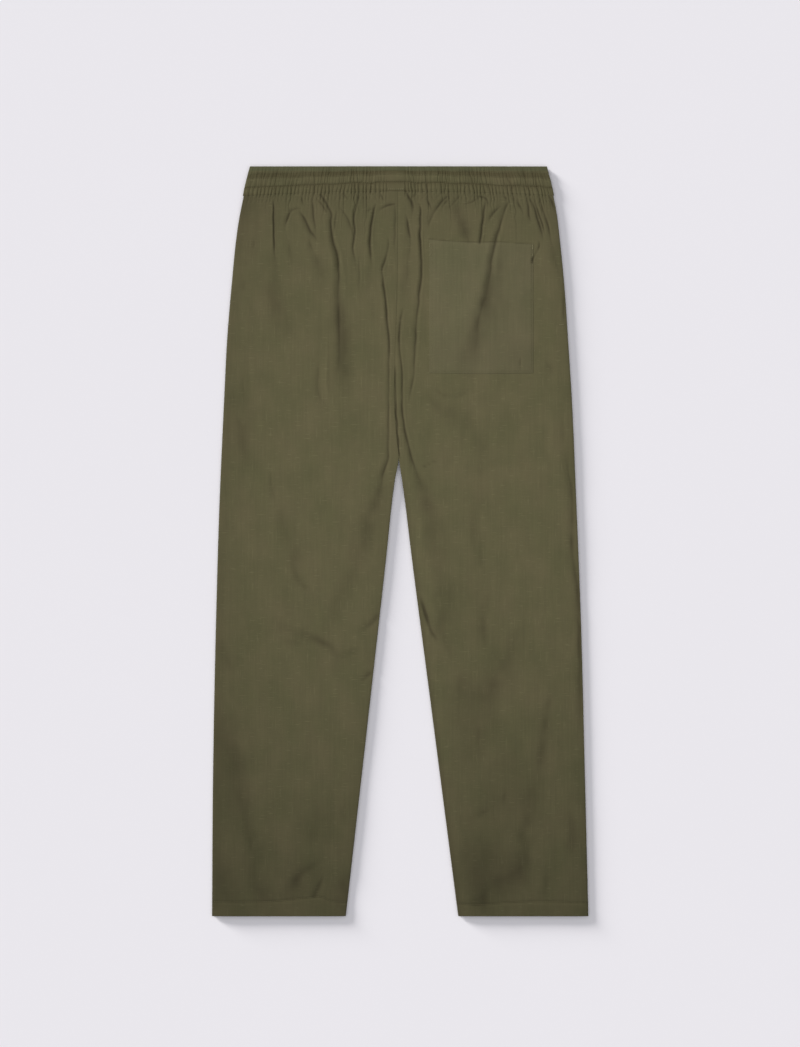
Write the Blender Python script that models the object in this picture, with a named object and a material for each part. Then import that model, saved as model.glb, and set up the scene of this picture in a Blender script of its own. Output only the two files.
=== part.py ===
"""Chino joggers laid flat with the back up.

Two back panels lie on two front panels, below a gathered waistband in two halves,
and one patch pocket lies on the right back panel. Every piece is a closed wall of
cloth: rows of points across its upper face, rows across its under face, and the
edges between them.

The garment lies on the plane Z = 0, with +Y towards the waist, +Z up and the origin
under the middle of its outline. Sizes are in millimetres until a mesh is made.
"across" is measured from the origin along X, and "down" from the waist's top edge.
"""
from collections import namedtuple

import bpy
import numpy as np

GARMENT = "chino_joggers"
MM = 0.001
GAP = 0.3                    # clearance between neighbouring pieces

LENGTH = 1050.0              # waist edge to hem
CROTCH = 408.0               # waist edge to the point where the legs part
HEM_STITCH = 1026.0          # row of sewing that holds the turned hem
CLOTH = 1.4                  # wall of a panel
POCKET_CLOTH = 1.0           # wall of the patch pocket
BAND = 2.6                   # waistband: cloth turned over its elastic
BAND_DEPTH = 35.0            # waistband's depth at the centre back
BAND_BOW = 5.9               # how much deeper it is at the sides
HALF_WAIST = 213.0
EDGE_TUCK = 1.0              # the front pieces end this far inside the back's outline

EDGE_TOP = CLOTH + GAP + CLOTH       # upper face of a back panel at its sewn edges
SHOULDER = 26.0                      # width of the rounded shoulder along an edge
SHOULDER_COLUMNS = (3.0, 11.0, 26.0) # distances from the edge of the columns that shape it
SEAM_COLUMN = 3.0                    # distance of the column beside the centre seam
SIDE_COLUMNS = (8.0, 3.0)            # distances of the last columns from the right side
CENTRE_FRONT = -2.3                  # seam between the front panels
SEAM_GROOVE = 0.9                    # dip of the cloth along the centre-back seam
SEAM_GROOVE_WIDTH = 2.5
PARTING = 70.0                       # below the crotch the inner edge rounds off over this length
HEM_DIP = 0.7                        # dip of the cloth along the hem's sewing
HEM_DIP_WIDTH = 2.5
FRONT_COLUMNS = 5

POCKET_MOUTH = 105.0
POCKET_FOOT = 291.0
POCKET_LEFT = 41.0
POCKET_RIGHT = 186.5

GATHERS_PER_SIDE = 37        # fine gathers on each side of the plain centre-back stretch
GATHER_DRIFT = 0.14          # how far a crest strays from even spacing, as a share of it
GATHER_MEAN = 0.75           # height of a mean crest, as a share of the row's gather
GATHER_VARY = 0.25           # how much crests differ from it
GATHER_VALLEY = 0.9          # depth of the valleys between them
PLAIN_LEFT = -15.5           # the plain stretch, from the waistband's own middle
PLAIN_RIGHT = 8.5
BAND_SLIT = 1.4              # opening between the two waistbands at the middle
BAND_EDGE = 1.5              # thickness of the back waistband at its side edges
BAND_SHOULDER = 14.0
BAND_END = 3.0               # the gathers start this far from the side edges
BAND_END_RELIEF = 0.25       # share of the rows' relief that is left at the side edges
FRONT_BAND_COLUMNS = 17

OLIVE = (0.117, 0.103, 0.053, 1.0)   # linear colour of the cloth
CLOTH_ROUGHNESS = 0.88
EDGE_ANGLE = np.radians(62)          # cut edges of the cloth stay sharp in shading

# Sides of the garment: across at each down.
Side = namedtuple("Side", "down left right")
SIDES = (
    Side(0, -210.5, 205.5), Side(26, -217.3, 212.3), Side(47, -221.5, 216.7),
    Side(103, -229.9, 223.7), Side(159, -235.5, 229.3), Side(243, -242.5, 235.2),
    Side(327, -246.7, 240.5), Side(467, -253.0, 246.6), Side(635, -258.0, 253.1),
    Side(859, -262.3, 258.9), Side(1050, -263.6, 263.6),
)

# Centre-back seam down to the crotch, then the two inseams.
Inner = namedtuple("Inner", "down left right")
INNERS = (
    Inner(0, -3.6, -3.6), Inner(125, -3.6, -3.6), Inner(187, -4.5, -4.5),
    Inner(282, -8.0, -8.0), Inner(327, -8.5, -8.5), Inner(383, -4.8, -4.8),
    Inner(408, -2.2, -2.2), Inner(439, -7.3, 2.5), Inner(551, -19.9, 16.5),
    Inner(747, -41.9, 42.0), Inner(1050, -76.2, 81.2),
)

# Height of the upper face away from edges and folds.
Loft = namedtuple("Loft", "down height")
LOFTS = (
    Loft(30, 6.1), Loft(60, 6.5), Loft(240, 6.5), Loft(408, 6.0),
    Loft(640, 5.4), Loft(1000, 5.0), Loft(1050, 5.2),
)

# A fold is a soft trough with a low ridge on each side. Its rows run down the cloth,
# and rows with no depth only lead the columns on.
Crease = namedtuple("Crease", "down across depth width")
LEFT_FOLDS = {
    "by_the_side": (
        Crease(41, -177, 1.2, 3.0), Crease(60, -177, 2.6, 3.0), Crease(118, -178, 2.2, 3.6),
        Crease(190, -175, 0.9, 9.0), Crease(250, -175, 0.0, 12.0)),
    "slanting": (
        Crease(48, -145, 0.0, 4.0), Crease(62, -142, 1.3, 4.0), Crease(92, -129, 1.5, 5.0),
        Crease(131, -117, 1.1, 6.0), Crease(170, -112, 0.0, 8.0)),
    "main": (
        Crease(40, -112, 0.8, 3.0), Crease(54, -102, 2.3, 3.2), Crease(76, -96, 3.0, 3.4),
        Crease(102, -93, 3.2, 3.8), Crease(131, -87, 3.2, 4.0), Crease(194, -88, 2.6, 5.0),
        Crease(240, -83, 2.3, 8.5), Crease(290, -82, 1.7, 10.0), Crease(325, -72, 0.6, 11.0),
        Crease(352, -62, 0.0, 12.0)),
    "thin": (
        Crease(38, -60, 1.0, 2.6), Crease(77, -65, 2.0, 2.8), Crease(99, -63, 2.1, 2.8),
        Crease(116, -67, 2.0, 3.0), Crease(131, -63, 1.2, 3.2), Crease(174, -59, 0.8, 4.0),
        Crease(230, -57, 0.0, 5.0)),
    "deep": (
        Crease(50, -34, 0.4, 3.0), Crease(62, -36, 2.4, 3.6), Crease(80, -40, 3.0, 4.0),
        Crease(106, -41, 2.8, 4.2), Crease(126, -41, 2.0, 4.6), Crease(175, -41, 0.8, 8.0),
        Crease(215, -41, 0.0, 9.0)),
    "by_the_seam": (
        Crease(92, -14, 0.4, 2.6), Crease(116, -16, 1.6, 2.6), Crease(139, -25, 1.8, 3.0),
        Crease(154, -23, 2.4, 3.0), Crease(208, -20, 2.6, 3.0), Crease(282, -16, 2.4, 3.0),
        Crease(351, -16, 2.0, 3.0), Crease(396, -18, 1.6, 3.5), Crease(439, -27, 1.6, 4.0),
        Crease(467, -35, 1.5, 5.0), Crease(510, -45, 0.9, 8.0), Crease(560, -55, 0.0, 12.0)),
}
RIGHT_FOLDS = {
    "by_the_seam": (
        Crease(55, 8, 0.0, 2.6), Crease(67, 9, 1.4, 2.6), Crease(100, 13.5, 1.8, 3.0),
        Crease(138, 7, 0.8, 4.0), Crease(187, 3, 0.9, 3.0), Crease(217, 1, 1.7, 2.6),
        Crease(257, 0, 2.2, 2.6), Crease(287, 3, 2.4, 2.6), Crease(334, 2, 2.6, 2.6),
        Crease(361, 5, 2.4, 3.0), Crease(383, 10, 2.2, 3.5), Crease(415, 18, 1.7, 4.0),
        Crease(439, 28, 1.5, 5.0), Crease(476, 42, 0.9, 8.0), Crease(530, 55, 0.0, 12.0)),
    "deep": (
        Crease(40, 25, 0.6, 3.0), Crease(54, 27, 2.5, 3.2), Crease(77, 28, 3.0, 3.4),
        Crease(113, 28, 3.0, 3.4), Crease(143, 31, 2.8, 3.6), Crease(165, 29, 2.2, 4.0),
        Crease(210, 23, 1.8, 4.5), Crease(245, 21.5, 1.6, 4.5), Crease(292, 19, 1.4, 4.0),
        Crease(324, 14, 0.9, 3.5), Crease(345, 13, 0.0, 3.5)),
    "broad": (
        Crease(44, 75, 0.0, 6.0), Crease(56, 79, 1.3, 6.5), Crease(90, 87, 1.2, 7.0),
        Crease(112, 88, 0.0, 8.0), Crease(143, 84, 0.0, 8.0), Crease(190, 74, 0.0, 8.0),
        Crease(256, 66, 0.0, 8.0)),
    "to_the_mouth": (
        Crease(42, 117, 0.5, 3.0), Crease(56, 116, 2.2, 3.2), Crease(83, 113, 2.8, 3.2),
        Crease(103, 111.5, 2.4, 3.2), Crease(113, 111, 0.0, 3.2), Crease(143, 105, 0.0, 3.2),
        Crease(190, 92, 0.0, 3.2), Crease(256, 80, 0.0, 3.2)),
    "over_the_pocket": (
        Crease(40, 157, 0.4, 3.0), Crease(52, 151.5, 1.8, 3.2), Crease(70, 144.5, 2.1, 3.4),
        Crease(91, 137, 2.5, 3.8), Crease(109, 132, 2.8, 4.2), Crease(143, 125, 2.8, 5.2),
        Crease(170, 116, 2.5, 6.5), Crease(190, 109, 2.2, 8.0), Crease(228, 103, 1.8, 9.0),
        Crease(256, 97, 1.4, 10.0), Crease(300, 92, 0.6, 12.0), Crease(335, 90, 0.0, 12.0)),
    "past_the_pocket": (
        Crease(38, 177, 0.6, 2.6), Crease(50, 183, 1.8, 2.6), Crease(81, 194, 1.9, 2.8),
        Crease(102, 200, 1.2, 3.0), Crease(130, 204, 0.0, 4.0)),
    "by_the_side": (
        Crease(40, 190, 0.4, 2.6), Crease(54, 196, 1.6, 2.6), Crease(84, 206, 1.6, 2.8),
        Crease(106, 212, 1.0, 3.0), Crease(140, 215, 0.0, 4.0)),
}
RIDGE_SHARE = 0.32           # height of a fold's side ridges, as a share of its depth
RIDGE_PLACE = 2.3            # their distance from its line, in fold widths
RIDGE_WIDTH = 1.3            # their width, in fold widths

# Rows of the panels. Columns that follow the folds end at the thigh row, and every
# other one goes on to the hem.
HIP_ROWS = (38, 40.5, 44, 49, 56, 64, 73, 83, 94, POCKET_MOUTH, 118, 131, 145, 161, 178, 196,
            216, 238, 262, POCKET_FOOT, 315, 338, 361, 383, CROTCH, 424, 440, 458, 478, 500,
            526, 555, 585)
LEG_ROWS = (615, 655, 710, 770, 830, 890, 945, 990, 1012, 1023, HEM_STITCH, 1029, 1040, LENGTH)
PLAIN_ROWS = (38, 56, 83, 125, 187, 262, 327, 383, CROTCH, 424, 458, 551, 670, 800, 930,
              1000, LENGTH)
BOW_FADE = 60.0              # the rows below the waist seam straighten over this length
LEG_LAYOUT_FROM = 460.0      # from here to the next value the columns move to even places
LEG_LAYOUT_TO = 585.0
LEAST_SPACING = 1.8

# Waistband rows: height of the upper face and of its gathers, from its top edge down.
BandRow = namedtuple("BandRow", "share height gather")
BAND_ROWS = (
    BandRow(0.000, -1.5, 0.05), BandRow(0.040, -0.1, 0.15), BandRow(0.165, 0.10, 0.20),
    BandRow(0.235, -0.8, 0.30), BandRow(0.330, 0.10, 0.50), BandRow(0.450, 0.45, 0.60),
    BandRow(0.580, 0.05, 0.50), BandRow(0.630, -0.8, 0.35), BandRow(0.690, 0.10, 0.70),
    BandRow(0.800, 0.35, 0.85), BandRow(0.920, 0.00, 0.80), BandRow(1.000, -0.6, 0.50),
)


def curve(at, table, column):
    """Smooth line through a table's points: cubic pieces whose slopes are the
    mean slopes of the neighbouring stretches."""
    stations = np.array([row.down for row in table], dtype=float)
    values = np.array([getattr(row, column) for row in table], dtype=float)
    slopes = np.gradient(values, stations)
    at = np.clip(at, stations[0], stations[-1])
    first = np.clip(np.searchsorted(stations, at, side="right") - 1, 0, len(stations) - 2)
    span = stations[first + 1] - stations[first]
    t = (at - stations[first]) / span
    rise = (1 + 2 * t) * (1 - t) ** 2 * values[first] + t * t * (3 - 2 * t) * values[first + 1]
    lean = t * (1 - t) ** 2 * slopes[first] - t * t * (1 - t) * slopes[first + 1]
    return rise + span * lean


def ease(share):
    """Runs from 0 to 1 with level ends as share does."""
    share = np.clip(share, 0.0, 1.0)
    return share * share * (3 - 2 * share)


def shoulder(distance, width):
    """Quarter ellipse: 0 at an edge, 1 from width inwards."""
    share = np.clip(distance / width, 0.0, 1.0)
    return np.sqrt(1 - (1 - share) ** 2)


def waist_seam(across):
    """Down of the seam below the waistband, which bows down towards the sides."""
    return BAND_DEPTH + BAND_BOW * (across / HALF_WAIST) ** 2


def fold_line(down, fold, column):
    """One column of a fold's rows at down; straight between rows so none overshoots."""
    return np.interp(down, [row.down for row in fold], [getattr(row, column) for row in fold])


def fold_path(down, fold):
    """Across of a fold's line at down."""
    return curve(down, fold, "across")


def fold_relief(across, down, folds):
    """Sum of the folds: each takes a soft trough out and adds two low ridges."""
    relief = np.zeros_like(across)
    for fold in folds.values():
        depth = fold_line(down, fold, "depth")
        depth = np.where((down < fold[0].down) | (down > fold[-1].down), 0.0, depth)
        width = fold_line(down, fold, "width")
        off = (across - fold_path(down, fold)) / width
        ridges = np.exp(-((np.abs(off) - RIDGE_PLACE) / RIDGE_WIDTH) ** 2)
        relief += depth * (RIDGE_SHARE * ridges - np.exp(-off ** 2))
    return relief


def back_height(across, down, side, inner, folds):
    """Upper face of a back panel: loft between a rounded shoulder at the side and,
    above the crotch, a groove at the centre seam or, below it, a second shoulder."""
    from_side = np.abs(across - side)
    from_inner = np.abs(across - inner)
    loft = curve(down, LOFTS, "height") - EDGE_TOP
    groove = 1 - SEAM_GROOVE / loft * np.exp(-(from_inner / SEAM_GROOVE_WIDTH) ** 2)
    parted = ease((down - CROTCH) / PARTING)
    at_inner = groove * (1 - parted) + shoulder(from_inner, SHOULDER) * parted
    hem_dip = HEM_DIP * np.exp(-((down - HEM_STITCH) / HEM_DIP_WIDTH) ** 2)
    height = EDGE_TOP + (loft - hem_dip) * shoulder(from_side, SHOULDER) * at_inner
    return np.maximum(height + fold_relief(across, down, folds), EDGE_TOP)


def even_layout(count, width):
    """Places of count columns over a leg: near each edge for its shoulder, even between."""
    near = np.array((0.0,) + SHOULDER_COLUMNS)
    middle = np.linspace(near[-1], width - near[-1], count - 2 * len(near) + 2)[1:-1]
    return np.concatenate([near, middle, width - near[::-1]])


def keep_apart(places):
    """Moves columns of a row so that each lies at least the least spacing after the last."""
    step = LEAST_SPACING * np.arange(len(places))
    last = places[-1]
    places = np.maximum.accumulate(places - step) + step
    room = last - LEAST_SPACING * np.arange(len(places))[::-1]
    return np.minimum(places, room)


def row_places(down, left, right, guides):
    """Columns of one row from the left edge to the right one. A guide gives each
    column's share of the width at down; below the crotch the shares become even."""
    width = right - left
    places = keep_apart(np.array([0.0] + [guide(down) * width for guide in guides] + [width]))
    settle = ease((down - LEG_LAYOUT_FROM) / (LEG_LAYOUT_TO - LEG_LAYOUT_FROM))
    even = even_layout((len(places) + 1) // 2, width)
    spread = np.interp(np.arange(len(places)), np.arange(len(even)) * 2, even)
    return left + places + settle * (spread - places)


def panel_edges(down, edge):
    """Left and right edges of the left or right half at down, clear of each other."""
    if edge == "left":
        return curve(down, SIDES, "left"), curve(down, INNERS, "left") - GAP / 2
    return curve(down, INNERS, "right") + GAP / 2, curve(down, SIDES, "right")


def follow(fold, edge, offset):
    """Guide along a fold's line, moved sideways by offset. Past the fold's ends it
    keeps its share of the panel's width."""
    def share(down):
        down = np.clip(down, fold[0].down, fold[-1].down)
        left, right = panel_edges(down, edge)
        return (fold_path(down, fold) + offset - left) / (right - left)
    return share


def upright(across, top, foot, edge):
    """Guide straight down at across between top and foot."""
    def share(down):
        left, right = panel_edges(np.clip(down, top, foot), edge)
        return (across - left) / (right - left)
    return share


def from_edge(distance, edge, which):
    """Guide at a fixed distance inside the left or right edge of a panel."""
    def share(down):
        left, right = panel_edges(down, edge)
        return (distance if which == "left" else right - left - distance) / (right - left)
    return share


def between(first, second):
    """Guide midway between two others."""
    return lambda down: (first(down) + second(down)) / 2


def beside(fold, edge, reach):
    """The three guides of a fold: one on its line and one at reach on each side of it."""
    return [follow(fold, edge, side * reach) for side in (-1, 0, 1)]


def left_guides():
    """Columns of the left back panel between its side and the centre seam."""
    folds = LEFT_FOLDS
    by_side = beside(folds["by_the_side"], "left", reach=4)
    slanting = beside(folds["slanting"], "left", reach=5)
    main = beside(folds["main"], "left", reach=5)
    thin = beside(folds["thin"], "left", reach=4)
    return ([from_edge(distance, "left", "left") for distance in SHOULDER_COLUMNS]
            + by_side + [between(by_side[2], slanting[0])]
            + slanting + [between(slanting[2], main[0])] + main + [between(main[2], thin[0])]
            + thin + beside(folds["deep"], "left", reach=4)
            + beside(folds["by_the_seam"], "left", reach=3)
            + [from_edge(SEAM_COLUMN, "left", "right")])


def right_guides():
    """Columns of the right back panel between the centre seam and its side. The
    pocket's edges are columns 8 and 18, counting the panel's own edge as 0."""
    folds = RIGHT_FOLDS
    pocket_left = upright(POCKET_LEFT, POCKET_MOUTH, POCKET_FOOT, "right")
    pocket_right = upright(POCKET_RIGHT, POCKET_MOUTH, POCKET_FOOT, "right")
    broad = follow(folds["broad"], "right", 0)
    over = beside(folds["over_the_pocket"], "right", reach=5)
    return ([from_edge(SEAM_COLUMN, "right", "left")]
            + beside(folds["by_the_seam"], "right", reach=3)
            + beside(folds["deep"], "right", reach=4)
            + [pocket_left, between(pocket_left, broad), broad]
            + beside(folds["to_the_mouth"], "right", reach=4)
            + over + [between(over[2], pocket_right), pocket_right]
            + beside(folds["past_the_pocket"], "right", reach=3)[:2]
            + beside(folds["by_the_side"], "right", reach=3)
            + [from_edge(distance, "right", "right") for distance in SIDE_COLUMNS])


POCKET_COLUMNS = slice(8, 19)
POCKET_ROWS = slice(HIP_ROWS.index(POCKET_MOUTH), HIP_ROWS.index(POCKET_FOOT) + 1)


def bowed(down, across):
    """Down of a panel's row at across: the first row follows the waist seam."""
    fade = 1 - ease((down - HIP_ROWS[0]) / BOW_FADE)
    return down + fade * (waist_seam(across) + GAP - HIP_ROWS[0])


def row_points(across, down, height):
    """Points of one row as an array of x, y, z."""
    return np.stack([across, LENGTH / 2 - down, height], axis=1)


def back_rows(edge, folds, guides):
    """Rows of the upper face of a back panel, from the waist seam to the hem."""
    rows = []
    for nominal in HIP_ROWS + LEG_ROWS:
        left, right = panel_edges(float(nominal), edge)
        across = row_places(float(nominal), left, right, guides)
        if nominal in LEG_ROWS:
            across = across[::2]
        down = bowed(nominal, across)
        side, inner = (left, right) if edge == "left" else (right, left)
        rows.append(row_points(across, down, back_height(across, down, side, inner, folds)))
    return rows


def front_rows(edge):
    """Rows of the upper face of a plain front panel, which lies flat."""
    rows = []
    for nominal in PLAIN_ROWS:
        left, right = panel_edges(float(nominal), edge)
        if nominal < CROTCH:
            left, right = ((left, CENTRE_FRONT - GAP / 2) if edge == "left"
                           else (CENTRE_FRONT + GAP / 2, right))
        if edge == "left" or nominal > CROTCH:
            left += EDGE_TUCK
        if edge == "right" or nominal > CROTCH:
            right -= EDGE_TUCK
        across = np.linspace(left, right, FRONT_COLUMNS)
        height = np.full(FRONT_COLUMNS, CLOTH)
        rows.append(row_points(across, bowed(nominal, across), height))
    return rows


def lowered(rows, drop):
    """The same rows, drop lower."""
    return [row - (0.0, 0.0, drop) for row in rows]


def band_columns():
    """Columns of the back waistband: across at the waist seam, as a share of the half
    width, and how far each stands on a gather's crest (+) or in its valley (-)."""
    count = GATHERS_PER_SIDE
    order = np.arange(count)
    crest = (order + 0.5 + GATHER_DRIFT * np.sin(2.3 * order * order)) / count
    valley = np.concatenate([[0.0], (crest[:-1] + crest[1:]) / 2, [1.0]])
    strength = GATHER_MEAN + GATHER_VARY * np.sin(1.7 * order + 0.4 * order ** 1.5)
    places = np.empty(2 * count + 1)
    places[0::2], places[1::2] = valley, crest
    gather = np.empty(2 * count + 1)
    gather[1::2] = strength
    gather[0::2] = -GATHER_VALLEY
    gather[0] = gather[-1] = 0.0
    last = 1 - BAND_END / HALF_WAIST
    first = -last
    plain = np.array([PLAIN_LEFT, PLAIN_RIGHT]) / HALF_WAIST
    left = first + places * (plain[0] - first)
    right = plain[1] + places * (last - plain[1])
    return (np.concatenate([[-1.0], left, right, [1.0]]),
            np.concatenate([[0.0], gather, gather[::-1], [0.0]]))


def band_under(share):
    """Under face of the back waistband, which lies on the front one at the sides."""
    return BAND + GAP + BAND_SLIT * (1 - share ** 2)


def band_across(share, down):
    """Across of a column at down, between the garment's two sides."""
    left, right = curve(down, SIDES, "left"), curve(down, SIDES, "right")
    return (left + right) / 2 + share * (right - left) / 2


def band_back_rows():
    """Rows of the gathered upper face of the back waistband."""
    share, gather = band_columns()
    rounded = shoulder((1 - np.abs(share)) * HALF_WAIST, BAND_SHOULDER)
    thick = BAND_EDGE + (BAND - BAND_EDGE) * rounded
    rows = []
    for row in BAND_ROWS:
        down = row.share * waist_seam(share * HALF_WAIST)
        relief = BAND_END_RELIEF + (1 - BAND_END_RELIEF) * rounded
        relief *= row.height + row.gather * gather
        rows.append(row_points(band_across(share, down), down, band_under(share) + thick + relief))
    return rows


def band_plain_rows(share, height, tuck):
    """Two straight rows of a waistband, at its top edge and at the waist seam."""
    rows = []
    for end in (0.0, 1.0):
        down = end * waist_seam(share * HALF_WAIST)
        across = band_across(share, down) - tuck * np.sign(share) * (np.abs(share) == 1)
        rows.append(row_points(across, down, height))
    return rows


def stitch(first, second):
    """Triangles between two lines of point numbers, of any counts, that run the same
    way. They face the side from which second lies right of first along the lines."""
    faces = []
    i = j = 0
    while i < len(first) - 1 or j < len(second) - 1:
        ahead = (j + 1) * (len(first) - 1) <= (i + 1) * (len(second) - 1)
        if i == len(first) - 1 or (j < len(second) - 1 and ahead):
            faces.append((first[i], second[j], second[j + 1]))
            j += 1
        else:
            faces.append((first[i], second[j], first[i + 1]))
            i += 1
    return faces


def wall(upper, under):
    """Points and triangles of a closed wall between rows of an upper and an under face."""
    points = np.concatenate(upper + under)
    numbers = []
    start = 0
    for row in upper + under:
        numbers.append(list(range(start, start + len(row))))
        start += len(row)
    top, bottom = numbers[:len(upper)], numbers[len(upper):]
    faces = []
    for row, below in zip(top[:-1], top[1:]):
        faces += stitch(row, below)
    for row, below in zip(bottom[:-1], bottom[1:]):
        faces += [face[::-1] for face in stitch(row, below)]
    faces += stitch(bottom[0], top[0])
    faces += stitch(top[-1], bottom[-1])
    faces += stitch([row[0] for row in top], [row[0] for row in bottom])
    faces += stitch([row[-1] for row in bottom], [row[-1] for row in top])
    return points * MM, faces


def cloth_material(name):
    """Matt olive cotton for one piece."""
    material = bpy.data.materials.new(name + "_cotton")
    material.use_nodes = True
    shader = material.node_tree.nodes["Principled BSDF"]
    shader.inputs["Base Color"].default_value = OLIVE
    shader.inputs["Roughness"].default_value = CLOTH_ROUGHNESS
    shader.inputs["Metallic"].default_value = 0.0
    return material


def add_piece(name, collection, upper, under):
    """One named cloth piece as a closed mesh."""
    points, faces = wall(upper, under)
    mesh = bpy.data.meshes.new(name)
    mesh.from_pydata(points.tolist(), [], faces)
    mesh.materials.append(cloth_material(name))
    mesh.shade_smooth()
    mesh.set_sharp_from_angle(angle=EDGE_ANGLE)
    collection.objects.link(bpy.data.objects.new(name, mesh))


def build_backs(collection):
    """The two back panels and the pocket, whose points are the right panel's moved out."""
    left = back_rows("left", LEFT_FOLDS, left_guides())
    add_piece("back_left", collection, left, lowered(left, CLOTH))
    right = back_rows("right", RIGHT_FOLDS, right_guides())
    add_piece("back_right", collection, right, lowered(right, CLOTH))
    patch = [row[POCKET_COLUMNS] for row in right[POCKET_ROWS]]
    add_piece("back_pocket", collection, lowered(patch, -GAP - POCKET_CLOTH), lowered(patch, -GAP))


def build_fronts(collection):
    """The two plain front panels, whose under faces rest on the ground."""
    for edge in ("left", "right"):
        rows = front_rows(edge)
        add_piece("front_" + edge, collection, rows, lowered(rows, CLOTH))


def build_waistband(collection):
    """The gathered back waistband over the plain front one."""
    share, _ = band_columns()
    under = band_plain_rows(share, band_under(share), 0.0)
    add_piece("waistband_back", collection, band_back_rows(), under)
    share = np.linspace(-1, 1, FRONT_BAND_COLUMNS)
    upper = band_plain_rows(share, np.full(len(share), BAND), EDGE_TUCK)
    add_piece("waistband_front", collection, upper, lowered(upper, BAND))


def main():
    for item in list(bpy.data.objects):
        bpy.data.objects.remove(item, do_unlink=True)
    collection = bpy.data.collections.new(GARMENT)
    bpy.context.scene.collection.children.link(collection)
    build_fronts(collection)
    build_backs(collection)
    build_waistband(collection)


main()
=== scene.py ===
import bpy
import numpy as np
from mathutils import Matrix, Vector


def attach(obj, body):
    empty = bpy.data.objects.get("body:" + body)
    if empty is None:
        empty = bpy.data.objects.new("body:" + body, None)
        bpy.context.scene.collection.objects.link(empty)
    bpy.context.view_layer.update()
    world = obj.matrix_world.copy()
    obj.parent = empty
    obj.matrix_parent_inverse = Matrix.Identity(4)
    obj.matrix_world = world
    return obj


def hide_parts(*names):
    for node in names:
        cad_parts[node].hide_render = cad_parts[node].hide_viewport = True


# Chino joggers laid flat with the back up. Each soft solid of the frame is replaced by a thin shell of cloth
# on the same form, with the creases, gathers and sewing that the solid is too coarse for.
# Tables are in millimetres: across runs along X, down starts at the waist's top edge, height at the ground.

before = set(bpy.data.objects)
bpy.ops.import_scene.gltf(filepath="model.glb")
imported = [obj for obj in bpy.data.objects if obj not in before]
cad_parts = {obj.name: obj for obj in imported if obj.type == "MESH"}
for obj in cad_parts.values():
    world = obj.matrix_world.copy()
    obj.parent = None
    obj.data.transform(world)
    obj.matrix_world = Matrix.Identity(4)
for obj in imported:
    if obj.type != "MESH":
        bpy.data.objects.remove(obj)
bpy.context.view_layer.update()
mm = 0.001
print("frame loaded:", len(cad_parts), "solids")


def addObject(name, data):
    # a new object at the origin, in the scene's own collection
    thing = bpy.data.objects.new(name, data)
    bpy.context.scene.collection.objects.link(thing)
    return thing


# the camera, straight above and framed as the photograph
view = {
    "millimetresAPixel": 1.4,  # at the height of the cloth
    "photoHeight": 1047,  # pixels
    "middlePixel": (400.0, 523.5),
    "originPixel": (400.2, 541.3),  # where the garment's own origin shows
    "lens": 85.0,
    "sensor": 36.0,  # along the photograph's longer side
    "clothHeight": 5.0,
}


def addCamera():
    # distance = frame height x lens / sensor; the axis goes through the photograph's middle pixel
    scale = view["millimetresAPixel"]
    distance = view["photoHeight"] * scale * view["lens"] / view["sensor"]
    x = (view["middlePixel"][0] - view["originPixel"][0]) * scale
    y = (view["originPixel"][1] - view["middlePixel"][1]) * scale
    data = bpy.data.cameras.new("studioCamera")
    data.lens, data.sensor_width = view["lens"], view["sensor"]
    camera = addObject("studioCamera", data)
    camera.location = (x * mm, y * mm, (distance + view["clothHeight"]) * mm)
    bpy.context.scene.camera = camera


addCamera()

# driving sizes, the same as the solids'
garment = {
    "length": 1050.0, "crotch": 408.0, "hemStitch": 1026.0,
    "cloth": 1.4, "gap": 0.3,  # wall of a panel, and the space between the solids
    "seamLine": 0.1,  # width of the line that shows at the centre-back seam
    "shoulder": 26.0,  # width of the rounded rise along an edge
    "parting": 70.0,  # below the crotch the inner edge rounds off over this length
    "seamGroove": 0.25, "seamGrooveWidth": 2.5,  # shallower than the solids', for the seam hardly shows
    "bandDepth": 35.0, "bandBow": 5.9, "halfWaist": 213.0, "bandCloth": 2.6, "bandSlit": 1.4,
    "bandEdge": 1.5, "bandShoulder": 14.0,
    "centreFront": -2.3, "tuck": 1.0,
}
edgeTop = 2 * garment["cloth"] + garment["gap"]  # upper face of a back panel at its sewn edges

# rows of down, left, right
sideEdges = (
    (0, -210.5, 205.5), (26, -217.3, 212.3), (47, -221.5, 216.7), (103, -229.9, 223.7), (159, -235.5, 229.3),
    (243, -242.5, 235.2), (327, -246.7, 240.5), (467, -253.0, 246.6), (635, -258.0, 253.1),
    (859, -262.3, 258.9), (1050, -263.6, 263.6),
)
innerEdges = (  # the centre-back seam, then the two inseams
    (0, -3.6, -3.6), (125, -3.6, -3.6), (187, -4.5, -4.5), (282, -8.0, -8.0), (327, -8.5, -8.5),
    (383, -4.8, -4.8), (408, -2.2, -2.2), (439, -7.3, 2.5), (551, -19.9, 16.5), (747, -41.9, 42.0),
    (1050, -76.2, 81.2),
)
lofts = ((30, 6.1), (60, 6.5), (240, 6.5), (408, 6.0), (640, 5.4), (1000, 5.0), (1050, 5.2))  # down, height

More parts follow.
